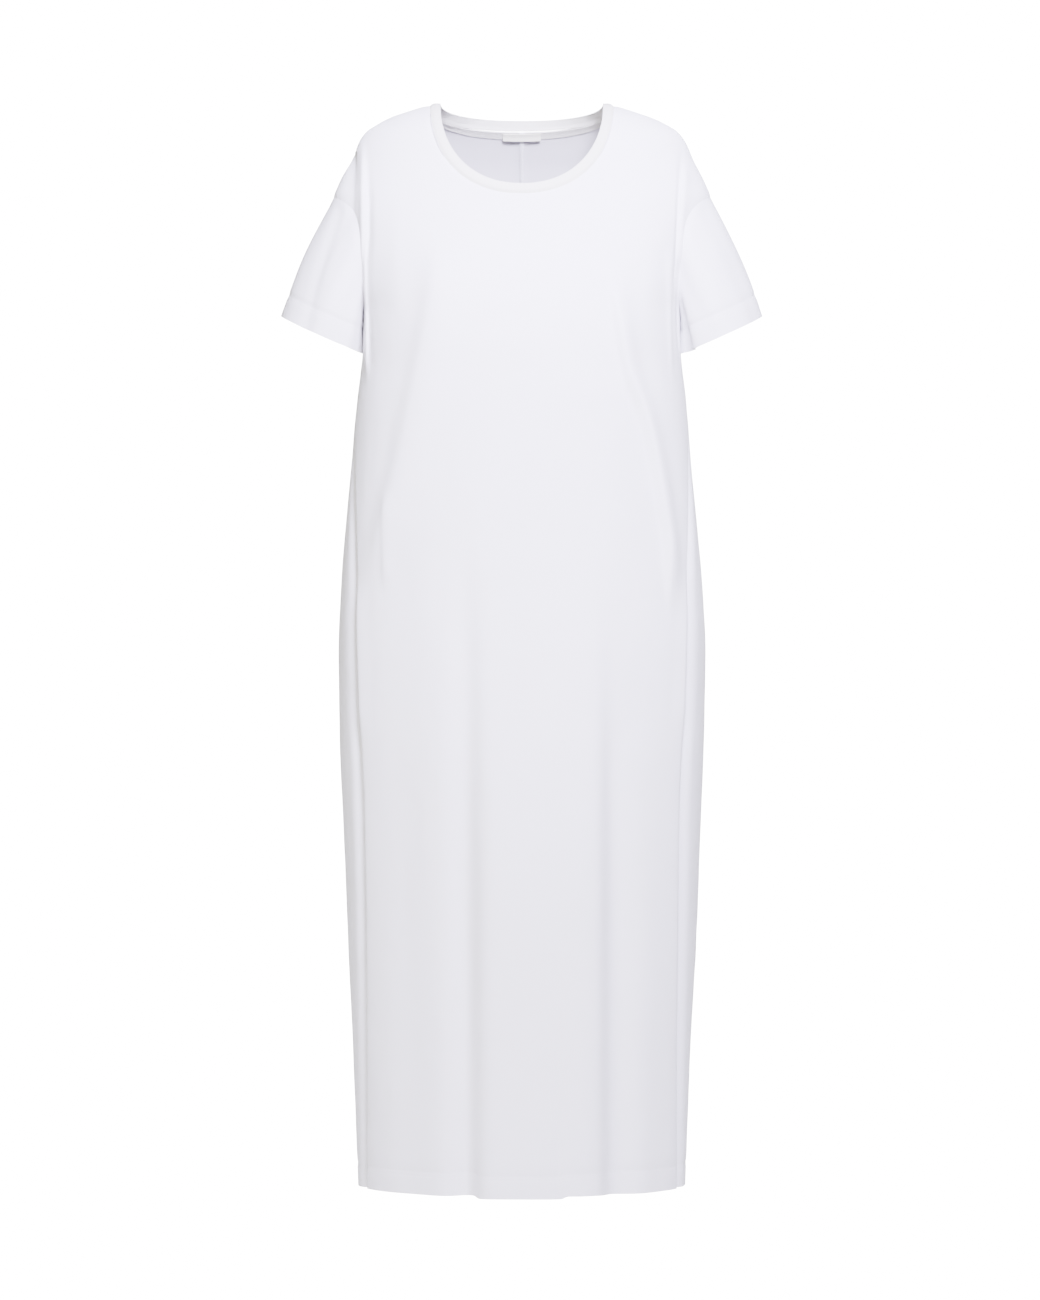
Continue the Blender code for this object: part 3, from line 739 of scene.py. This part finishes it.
def both_halves(half):
    """A grid of values over both halves of the front from those over its left half."""
    return np.concatenate((half[:, :0:-1], half), axis=1)


def front_grids():
    """Both faces of the front, from side seam to side seam."""
    half_angle, half_height = panel_half("front", FRONT_COLUMNS)
    dips = both_halves(seam_dips(form(half_angle, half_height)))
    angle = np.concatenate((-half_angle[:, :0:-1], half_angle), axis=1)
    height = both_halves(half_height)
    base, normal, outer = draped(angle, height)
    rise = dips - hem_dip(height + LENGTH - HEM_DEPTH)
    for edge in (0, -1):
        gone = edge_distance(base, edge)
        lift = POCKET_LIFT * ease(1 - gone / POCKET_RAMP) * pocket_share(height)
        rise = rise + lift * at_side_seam(height) - seam_hollow(gone, height)
    outer = outer + rise[..., None] * normal
    inner = outer - wall_depth(height)[..., None] * grid_normals(outer, False)
    return outer, inner


def back_grids(side):
    """Both faces of half the back, from the centre back seam round the side to the front."""
    from_back, height = panel_half("back", BACK_COLUMNS)
    base, normal, outer = draped(side * (math.pi - from_back), height)
    gone = edge_distance(base, -1)
    sink = SEAM_SINK * ease(1 - (gone - SEAM_TUCK) / SEAM_RAMP)
    sink = sink + GROOVE * ease(1 - gone / GROOVE_RAMP)
    sink = sink + POCKET_SINK * pocket_share(height) * ease(1 - gone / POCKET_RAMP)
    sink = sink + seam_hollow(gone - SEAM_TUCK, height)
    rise = seam_dips(base) - sink * at_side_seam(height) - hem_dip(height + LENGTH - HEM_DEPTH)
    rise = rise - SHOULDER_DIP * bell(base[..., 0], DIP_REACH)
    outer = outer + rise[..., None] * normal
    way_in = side * grid_normals(outer, False)
    way_in[:, 0, 0] = 0.0
    way_in = unit(way_in)
    allowance = ALLOWANCE_RISE * ease((ALLOWANCE - np.abs(base[..., 0])) / ALLOWANCE_EDGE)
    inner = outer + (wall_depth(height) + allowance)[..., None] * way_in
    outer[:, 0, 0] = 0.0
    inner[:, 0, 0] = 0.0
    return outer, inner


def sleeve_grids(side):
    """Both faces of a sleeve: a tube from the armhole to its hem."""
    turn = np.linspace(0, 2 * math.pi, SLEEVE_COLUMNS, endpoint=False)
    height, depth = arm_ring(turn)
    ahead = angle_from_depth(depth, height, "front")
    behind = math.pi - angle_from_depth(depth, height, "back")
    angle = side * np.where(depth >= 0, ahead, behind)
    start = draped(angle, height)[2]
    out = np.array([side * math.cos(CUFF_TILT), 0.0, math.sin(CUFF_TILT)])
    end = np.array([side * CUFF_X, 0.0, CUFF_HEIGHT])
    end = end + CUFF_HALF_WIDTH * np.cos(turn)[:, None] * out
    end = end - np.sin(turn)[:, None] * np.array([0.0, CUFF_HALF_DEPTH, CUFF_LEAN])
    length = np.linalg.norm(end - start, axis=1)
    hem_share = 1 - HEM_DEPTH / length
    upper = np.linspace(0, 1, SLEEVE_ROWS)[:, None] * hem_share
    step = hem_share + HEM_STEP / length
    lower = step + np.linspace(0, 1, HEM_ROWS)[:, None] * (1 - step)
    share = np.concatenate((upper, lower))[..., None]
    outer = start + (end - start) * share
    centre = outer.mean(axis=1, keepdims=True)
    normal = tube_normals(outer, centre)
    gone = share[..., 0] * length
    free = ease(gone / SLEEVE_FREE)
    outward = (1 + np.cos(turn))[None, :] / 2
    rise = SLEEVE_FULLNESS * np.sin(math.pi * share[..., 0]) * outward
    for fold in SLEEVE_FOLDS:
        if fold.side != side:
            continue
        middle = math.pi * (fold.top_turn + (fold.low_turn - fold.top_turn) * share[..., 0])
        away = (turn - middle + math.pi) % (2 * math.pi) - math.pi
        strength = fold.top_rise + (fold.low_rise - fold.top_rise) * share[..., 0]
        rise = rise + free * strength * bell(away, fold.half)
    size, seed, most = SLEEVE_SLACK
    rise = rise + free * soft_noise(outer, size, seed) * most
    rise = rise - hem_dip((1 - share[..., 0]) * length - HEM_DEPTH)
    outer = outer + rise[..., None] * normal
    thick = np.full(share.shape, CLOTH)
    thick[-HEM_ROWS:] = HEM_CLOTH
    return outer, outer - thick * tube_normals(outer, centre)


def neck_ring(top, front_drop, back_drop):
    """A closed neckline on the form, with its angles and heights."""
    turn = np.linspace(-math.pi, math.pi, BAND_COLUMNS, endpoint=False)
    ahead = np.abs(turn) <= math.pi / 2
    from_centre = np.where(ahead, np.abs(turn), math.pi - np.abs(turn))
    drop = np.where(ahead, front_drop, back_drop)
    x, height = neck_curve(from_centre / (math.pi / 2), top, drop)
    angle = angle_from_width(x, height)
    angle = np.where(ahead, angle, math.pi - angle)
    return np.where(turn < 0, -angle, angle), height


def band_grids():
    """Both faces of the narrow neck band, softly puffed, and more upright behind than the form."""
    low = draped(*neck_ring(NECK_SEAM_TOP, NECK_SEAM_FRONT, NECK_SEAM_BACK))[2]
    top = form(*neck_ring(NECK_EDGE_TOP, NECK_EDGE_FRONT, NECK_EDGE_BACK))
    turn = np.linspace(-math.pi, math.pi, BAND_COLUMNS, endpoint=False)
    top[:, 1] += BAND_STAND * np.clip(-np.cos(turn), 0.0, 1.0)
    share = np.linspace(0, 1, BAND_ROWS)[:, None, None]
    base = low + (top - low) * share
    normal = tube_normals(base, base.mean(axis=(0, 1)))
    puff = BAND_PUFF * np.sin(math.pi * np.clip(share * BAND_PUFF_RUN, 0, 1))
    puff = puff - NECK_DIP * (1 - ease(share * BAND_DIP_RUN))
    outer = base + puff * normal
    lap = BAND_LAP * (1 - ease(share * BAND_LAP_RUN))
    inner = base - (BAND_WALL - BAND_PUFF + BAND_INSIDE_PUFF * puff + lap) * normal
    return outer, inner


def inside_neck(distances, clear, half_width, count, stand):
    """Points inside the back neck, this far down from its seam, clear of the panels.

    stand is how far the lowest points hang free of the cloth.
    """
    columns = int(round(BACK_COLUMNS * INNER_SHARE)) + 1
    left = back_grids(1)[1][-UPPER_ROWS // 2 :, :columns]
    right = back_grids(-1)[1][-UPPER_ROWS // 2 :, columns - 1 : 0 : -1]
    grid = np.concatenate((right, left), axis=1)[::-1]
    above = grid[0] + TAPE_TOP * unit(grid[1] - grid[0])
    grid = np.concatenate((above[None], grid))
    near = grid[1, :, 0]
    across = np.linspace(-half_width, half_width, count)
    grid = np.stack(
        [[np.interp(across, near, row[:, axis]) for axis in range(3)] for row in grid]
    ).transpose(0, 2, 1)
    run = np.linalg.norm(np.diff(grid, axis=0), axis=-1)
    run = np.concatenate((np.zeros((1, count)), np.cumsum(run, axis=0))) + TAPE_TOP
    points = np.zeros((len(distances), count, 3))
    for k in range(count):
        for axis in range(3):
            points[:, k, axis] = np.interp(distances, run[:, k], grid[:, k, axis])
    way = points[-1] - points[0]
    normal = unit(np.cross(way, np.gradient(points[0], axis=0)))
    inward = np.where((normal * points[0] * (1, 1, 0)).sum(axis=-1, keepdims=True) > 0, -1, 1)
    normal = (normal * inward)[None]
    free = stand * np.linspace(0, 1, len(distances))[:, None, None]
    points = points + clear * normal - free * np.array([0.0, 1.0, 0.0])
    return points, np.broadcast_to(normal, points.shape)


# Materials
COURSE_SHARE = 0.25
YARN_SCALE = 900.0
CLOUD_SCALE = 26.0
SHEEN_ROUGHNESS = 0.45
FLOAT = "NodeSocketFloat"
SPECULAR = 0.25


def add_values(tree, values):
    """Named number inputs of a group, with their usual values."""
    new = partial(tree.interface.new_socket, in_out="INPUT", socket_type=FLOAT)
    for label, value in values.items():
        new(name=label).default_value = value


def node_group(name, values, outputs):
    """A new shader group with its ends, and the cloth's map split in across and up."""
    tree = bpy.data.node_groups.new(name, "ShaderNodeTree")
    tree.interface.new_socket(name="Map", in_out="INPUT", socket_type="NodeSocketVector")
    add_values(tree, values)
    for label in outputs:
        tree.interface.new_socket(name=label, in_out="OUTPUT", socket_type=FLOAT)
    start = tree.nodes.new("NodeGroupInput")
    split = tree.nodes.new("ShaderNodeSeparateXYZ")
    tree.links.new(start.outputs["Map"], split.inputs[0])
    return tree, start, tree.nodes.new("NodeGroupOutput"), split.outputs


def set_inputs(node, values):
    """A node's inputs set by name or number, and the node again."""
    for label, value in values.items():
        node.inputs[label].default_value = value
    return node


def math_node(tree, operation, first, second=None):
    """A math node with its two inputs linked or set."""
    node = tree.nodes.new("ShaderNodeMath")
    node.operation = operation
    for k, value in enumerate((first, second)):
        if value is None:
            continue
        if isinstance(value, (int, float)):
            node.inputs[k].default_value = value
        else:
            tree.links.new(value, node.inputs[k])
    return node.outputs[0]


def noise_fac(tree, place, scale, detail):
    """The output of a noise over the map."""
    node = tree.nodes.new("ShaderNodeTexNoise")
    set_inputs(node, {"Scale": scale, "Detail": detail})
    tree.links.new(place, node.inputs["Vector"])
    return node.outputs["Fac"]


def knit_group():
    """Fine jersey: upright wales crossed by courses, with a little uneven yarn."""
    values = {"Wale Width": 0.0009, "Course Height": 0.0007, "Unevenness": 0.35}
    tree, start, end, place = node_group("jersey knit", values, ("Height", "Shade"))
    do = partial(math_node, tree)
    wale = do("DIVIDE", place[0], start.outputs["Wale Width"])
    course = do("DIVIDE", place[1], start.outputs["Course Height"])
    wale = do("ABSOLUTE", do("SINE", do("MULTIPLY", wale, math.pi)))
    course = do("SINE", do("MULTIPLY", course, 2 * math.pi))
    loops = do("MULTIPLY", wale, do("MULTIPLY_ADD", course, COURSE_SHARE))
    loops = do("ADD", wale, loops)
    yarn = noise_fac(tree, start.outputs["Map"], YARN_SCALE, 2.0)
    rough = do("MULTIPLY", yarn, start.outputs["Unevenness"])
    tree.links.new(do("ADD", loops, rough), end.inputs["Height"])
    cloud = noise_fac(tree, start.outputs["Map"], CLOUD_SCALE, 5.0)
    tree.links.new(cloud, end.inputs["Shade"])
    return tree


def rib_group():
    """Ribs across a band, or the zigzag of a woven tape where the slant isn't 0."""
    values = {"Rib Width": 0.0014, "Slant": 0.0, "Zigzag Width": 0.003}
    tree, start, end, place = node_group("ribs", values, ("Height",))
    do = partial(math_node, tree)
    slant = start.outputs["Slant"]
    fold = do("PINGPONG", place[0], start.outputs["Zigzag Width"])
    lean = do("MULTIPLY", fold, slant)
    run = do("MULTIPLY", place[0], do("SUBTRACT", 1.0, slant))
    up = do("MULTIPLY", place[1], slant)
    run = do("ADD", do("ADD", run, up), lean)
    turn = do("MULTIPLY", do("DIVIDE", run, start.outputs["Rib Width"]), 2 * math.pi)
    tree.links.new(do("SINE", turn), end.inputs["Height"])
    return tree


class Finish(NamedTuple):
    """The plain values of one cloth's finish."""

    colour: tuple
    dark: tuple
    roughness: float
    sheen: float
    bump: float
    bump_depth: float


def placed(tree, group, values, place):
    """A group placed in a material, with its map and its own values."""
    node = tree.nodes.new("ShaderNodeGroup")
    node.node_tree = group
    tree.links.new(place, node.inputs["Map"])
    return set_inputs(node, values).outputs


def cloth_material(name, finish, groups, knit_values, rib_values):
    """A cloth: its two close tones, its nap and the relief of its knit or ribs."""
    material = bpy.data.materials.new(name)
    material.use_nodes = True
    tree = material.node_tree
    nap = {"Sheen Weight": finish.sheen, "Sheen Roughness": SHEEN_ROUGHNESS}
    gloss = {"Roughness": finish.roughness, "Specular IOR Level": SPECULAR}
    shader = set_inputs(tree.nodes["Principled BSDF"], {**nap, **gloss})
    place = tree.nodes.new("ShaderNodeUVMap")
    place.uv_map = "Cloth"
    knit, ribs = groups
    relief = tone = placed(tree, knit, knit_values, place.outputs["UV"])
    if rib_values is not None:
        relief = placed(tree, ribs, rib_values, place.outputs["UV"])
    bump = tree.nodes.new("ShaderNodeBump")
    set_inputs(bump, {"Strength": finish.bump, "Distance": finish.bump_depth})
    tree.links.new(relief["Height"], bump.inputs["Height"])
    tree.links.new(bump.outputs["Normal"], shader.inputs["Normal"])
    mix = tree.nodes.new("ShaderNodeMix")
    mix.data_type = "RGBA"
    set_inputs(mix, {6: (*finish.dark, 1.0), 7: (*finish.colour, 1.0)})
    tree.links.new(tone["Shade"], mix.inputs[0])
    tree.links.new(mix.outputs[2], shader.inputs["Base Color"])
    return material


def make_materials():
    """The cloths of the dress, by name."""
    white = Finish((0.815, 0.803, 0.842), (0.79, 0.778, 0.817), 0.85, 0.08, 0.22, 0.0002)
    # The inside faces get a darker copy of the white jersey: painted shade for the dim inside of the
    # dress, not a different cloth.
    painted_shade_inside = Finish((0.67, 0.65, 0.69), (0.65, 0.63, 0.67), 0.9, 0.05, 0.22, 0.0002)
    ecru = Finish((0.8, 0.785, 0.735), (0.775, 0.76, 0.71), 0.88, 0.1, 0.45, 0.0004)
    ivory = Finish((0.84, 0.82, 0.77), (0.8, 0.78, 0.73), 0.85, 0.1, 0.6, 0.0003)
    satin = Finish((0.95, 0.93, 0.76), (0.91, 0.9, 0.81), 0.55, 0.1, 0.2, 0.00015)
    thread = Finish((0.88, 0.88, 0.9), (0.86, 0.86, 0.88), 0.6, 0.15, 0.2, 0.0001)
    woven = {"Wale Width": 0.0003, "Course Height": 0.0004}
    herringbone = {"Slant": 1.0, "Rib Width": 0.0008}
    groups = (knit_group(), rib_group())
    return {
        key: cloth_material(name, finish, groups, knit_values, rib_values)
        for key, name, finish, knit_values, rib_values in (
            ("jersey", "white jersey", white, {}, None),
            ("shade-painted inside", "shade-painted inside of the jersey", painted_shade_inside, {}, None),
            ("rib", "ecru rib", ecru, {"Wale Width": 0.0007}, {}),
            ("tape", "ivory tape", ivory, {}, herringbone),
            ("label", "bare label", satin, woven, None),
            ("thread", "white thread", thread, woven, None),
        )
    }


# Stitches


def stitch_tree(material):
    """Stitches laid along a line at even steps."""
    tree = bpy.data.node_groups.new("stitches", "GeometryNodeTree")
    tree.interface.new_socket(name="Geometry", in_out="INPUT", socket_type="NodeSocketGeometry")
    add_values(tree, {"Step": STITCH_STEP, "Length": STITCH_LENGTH, "Radius": STITCH_RADIUS})
    add_values(tree, {"Across": 0.0})
    tree.interface.new_socket(name="Geometry", in_out="OUTPUT", socket_type="NodeSocketGeometry")
    new = tree.nodes.new
    start = new("NodeGroupInput")
    end = new("NodeGroupOutput")
    to_curve = new("GeometryNodeMeshToCurve")
    steps = new("GeometryNodeResampleCurve")
    steps.mode = "LENGTH"
    thread = new("GeometryNodeMeshUVSphere")
    set_inputs(thread, {"Segments": 6, "Rings": 5, "Radius": 0.5})
    width = new("ShaderNodeMath")
    width.operation = "MULTIPLY"
    width.inputs[1].default_value = 2.0
    size = new("ShaderNodeCombineXYZ")
    along = new("GeometryNodeInputTangent")
    way = new("ShaderNodeMix")
    way.data_type = "VECTOR"
    way.inputs[5].default_value = SLANT
    aim = new("FunctionNodeAlignRotationToVector")
    aim.axis = "Z"
    lay = new("GeometryNodeInstanceOnPoints")
    real = new("GeometryNodeRealizeInstances")
    finish = new("GeometryNodeSetMaterial")
    finish.inputs["Material"].default_value = material
    smooth = new("GeometryNodeSetShadeSmooth")
    main = (start, to_curve, steps, lay, real, finish, smooth, end)
    for source, target in zip(main[:-1], main[1:]):
        tree.links.new(source.outputs[0], target.inputs[0])
    for source, output, target, socket in (
        (start, "Step", steps, "Length"),
        (start, "Radius", width, 0),
        (width, 0, size, 0),
        (width, 0, size, 1),
        (start, "Length", size, 2),
        (start, "Across", way, 0),
        (along, "Tangent", way, 4),
        (way, 1, aim, "Vector"),
        (thread, "Mesh", lay, "Instance"),
        (aim, "Rotation", lay, "Rotation"),
        (size, 0, lay, "Scale"),
    ):
        tree.links.new(source.outputs[output], target.inputs[socket])
    return tree


def stitches(name, lines, tree, material, values):
    """One piece of thread stitches along lines of points, with the tree's inputs by name."""
    mesh = bpy.data.meshes.new(name)
    points = []
    edges = []
    for line in lines:
        first = len(points)
        points.extend(line.tolist())
        edges.extend((k, k + 1) for k in range(first, len(points) - 1))
    mesh.from_pydata(points, edges, [])
    guide = put_in_scene(name, mesh)
    modifier = guide.modifiers.new("stitches", "NODES")
    modifier.node_group = tree
    for socket in tree.interface.items_tree:
        if socket.name in values and socket.in_out == "INPUT":
            modifier[socket.identifier] = values[socket.name]
    depsgraph = bpy.context.evaluated_depsgraph_get()
    result = bpy.data.meshes.new_from_object(guide.evaluated_get(depsgraph))
    guide.modifiers.clear()
    guide.data = result
    bpy.data.meshes.remove(mesh)
    if not result.materials:
        result.materials.append(material)
    return guide


def dress(materials):
    """All the cloth pieces by name, with the grids that their stitches follow."""
    grids = {"front": front_grids()}
    for name, side in (("left", 1), ("right", -1)):
        grids[f"back_{name}"] = back_grids(side)
        grids[f"sleeve_{name}"] = sleeve_grids(side)
    # The jersey outside, and the same jersey painted darker as shade on the inside faces.
    both = (materials["jersey"], materials["shade-painted inside"])
    pieces = {
        name: shell(f"{name}_cloth", *faces, name.startswith("sleeve"), both)
        for name, faces in grids.items()
    }
    pieces["neckband"] = shell("neckband_rib", *band_grids(), True, [materials["rib"]] * 2)
    rows, columns = TAPE_GRID
    down = np.linspace(TAPE_TOP, TAPE_WIDTH, rows)
    points, inward = inside_neck(down, INSIDE_GAP, TAPE_HALF_LENGTH, columns, 0.0)
    outer = points + TAPE_WALL * inward
    woven = [materials["tape"]] * 2
    pieces["neck_tape"] = shell("neck_tape_woven", outer, points, False, woven)
    clear = INSIDE_GAP * 2 + TAPE_WALL + ALLOWANCE_RISE
    rows, columns = LABEL_GRID
    down = np.linspace(LABEL_TOP, LABEL_HEIGHT, rows)
    points, inward = inside_neck(down, clear, LABEL_HALF_WIDTH, columns, LABEL_STAND)
    for row in points:
        for axis in (1, 2):
            row[:, axis] = np.polyval(np.polyfit(row[:, 0], row[:, axis], LABEL_CURVE), row[:, 0])
    outer = points + LABEL_WALL * inward
    satin = [materials["label"]] * 2
    pieces["neck_label"] = shell("neck_label_bare", outer, points, False, satin)
    return pieces, grids


def row_line(grid, distance):
    """A line across a grid, this far up from its first row."""
    line = grid[0]
    run = np.zeros(grid.shape[1])
    for near, far in zip(grid[:-1], grid[1:]):
        step = np.linalg.norm(far - near, axis=-1)
        share = np.clip((distance - run) / np.maximum(step, 1e-9), 0.0, 1.0)
        line = np.where((run < distance)[:, None], near + (far - near) * share[:, None], line)
        run = run + step
        if (run >= distance).all():
            break
    return line


def sew(grids, thread):
    """Twin rows of stitches round the hems, one by the neck seam, and the overlocked back seam."""
    tree = stitch_tree(thread)
    rows = (HEM_DEPTH - EDGE_STITCH, HEM_DEPTH - EDGE_STITCH - NEEDLE_GAP)
    threads = {}
    for name, (outer, _) in grids.items():
        if name.startswith("sleeve"):
            closed = np.concatenate((outer, outer[:, :1]), axis=1)[::-1]
            lines = [row_line(closed, up) for up in rows]
        else:
            lines = [row_line(outer, up) for up in rows]
            middle = FRONT_COLUMNS if name == "front" else 0
            corner = int(round((outer.shape[1] - 1 - middle) * INNER_SHARE))
            first = max(middle - corner, 0)
            lines.append(row_line(outer[::-1, first : middle + corner + 1], EDGE_STITCH))
        threads[name] = stitches(f"{name}_stitches", lines, tree, thread, {})
    seam = grids["back_left"][1][:, 0] + np.array([0.0, -OVERLOCK_RADIUS / 2, 0.0])
    sizes = {"Step": OVERLOCK_STEP, "Length": 2 * ALLOWANCE, "Radius": OVERLOCK_RADIUS}
    sizes["Across"] = 1.0
    threads["overlock"] = stitches("back_seam_overlock", [seam], tree, thread, sizes)
    return threads


def area_light(name, place, target, size, power, colour):
    """A soft square light that faces the dress."""
    data = bpy.data.lights.new(name, "AREA")
    data.shape = "RECTANGLE"
    data.size, data.size_y = size
    data.energy = power
    data.color = colour
    light = put_in_scene(name, data)
    light.location = place
    light.rotation_euler = (Vector(target) - Vector(place)).to_track_quat("-Z", "Y").to_euler()


def seen_white(tree, lit, kind, socket):
    """What the camera sees is plain white; what lights the dress comes from lit."""
    white = set_inputs(tree.nodes.new(kind), {"Color": (1, 1, 1, 1), "Strength": SEEN_STRENGTH})
    path = tree.nodes.new("ShaderNodeLightPath")
    mix = tree.nodes.new("ShaderNodeMixShader")
    tree.links.new(path.outputs["Is Camera Ray"], mix.inputs[0])
    tree.links.new(lit, mix.inputs[1])
    tree.links.new(white.outputs[0], mix.inputs[2])
    tree.links.new(mix.outputs[0], socket)


def studio():
    """A pale floor, soft light and the camera of the photo."""
    world = bpy.data.worlds.new("studio")
    bpy.context.scene.world = world
    world.use_nodes = True
    tree = world.node_tree
    tree.nodes.clear()
    out = tree.nodes.new("ShaderNodeOutputWorld")
    lit = tree.nodes.new("ShaderNodeBackground")
    set_inputs(lit, {"Color": (*WARM, 1), "Strength": WORLD_LIGHT})
    seen_white(tree, lit.outputs[0], "ShaderNodeBackground", out.inputs["Surface"])

    floor_mesh = bpy.data.meshes.new("floor")
    signs = ((-1, -1), (1, -1), (1, 1), (-1, 1))
    corners = [(x * FLOOR_HALF, y * FLOOR_HALF, FLOOR_HEIGHT) for x, y in signs]
    floor_mesh.from_pydata(corners, [], [(0, 1, 2, 3)])
    floor = put_in_scene("floor", floor_mesh)
    pale = bpy.data.materials.new("pale floor")
    pale.use_nodes = True
    tree = pale.node_tree
    shader = tree.nodes["Principled BSDF"]
    set_inputs(shader, {"Base Color": (0.85, 0.85, 0.86, 1), "Roughness": 0.9})
    out = tree.nodes["Material Output"]
    seen_white(tree, shader.outputs[0], "ShaderNodeEmission", out.inputs["Surface"])
    floor_mesh.materials.append(pale)

    area_light("key", (0.25, -1.29, 0.68), (0.0, 0.0, -0.45), (0.50, 0.40), KEY_POWER, COOL)
    area_light("front", (-0.62, -1.28, -0.62), (-0.05, 0.0, -0.72), (0.45, 0.45), FRONT_POWER, WARM)
    area_light("back", (0.0, 3.0, 0.2), (0, 0, -0.6), (2.0, 2.0), BACK_POWER, (1.0, 1.0, 1.0))

    lens = bpy.data.cameras.new("camera")
    lens.sensor_width = SENSOR * 1000
    lens.lens = SENSOR * 1000 * CAMERA_DISTANCE / VIEW_TALL
    lens.clip_end = 60.0
    camera = put_in_scene("camera", lens)
    camera.location = (VIEW_X, -CAMERA_DISTANCE, VIEW_HEIGHT)
    camera.rotation_euler = (math.pi / 2, 0, 0)
    bpy.context.scene.camera = camera


materials = make_materials()
studio()
pieces, grids = dress(materials)
threads = sew(grids, materials["thread"])

for name, piece in pieces.items():
    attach(piece, "root")
    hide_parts(name)
for piece in threads.values():
    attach(piece, "root")

# The cut of each piece that shows: the most across, the most down, and its flat area
SHEETS = {
    "front": ((0.717, 1.250), 0.503, "hung", ("back_left", "back_right")),
    "back_left": ((0.366, 1.265), 0.372, "hung", ("front", "back_right")),
    "back_right": ((0.368, 1.266), 0.372, "hung", ("front", "back_left")),
    "sleeve_left": ((0.404, 0.145), 0.0327, "hung", ("front", "back_left")),
    "sleeve_right": ((0.407, 0.145), 0.0327, "hung", ("front", "back_right")),
    "neckband": ((0.691, 0.0145), 0.0084, "stretched", ("front", "back_left", "back_right")),
    "neck_tape": ((0.2315, 0.0100), 0.0019, "laid", ("back_left", "back_right")),
    "neck_label": ((0.0432, 0.0100), 0.00036, "hung", ("neck_tape",)),
}
for name, (flat, area, held, rests_on) in SHEETS.items():
    sewn = [threads[name]] if name in threads else []
    if name == "back_left":
        sewn.append(threads["overlock"])
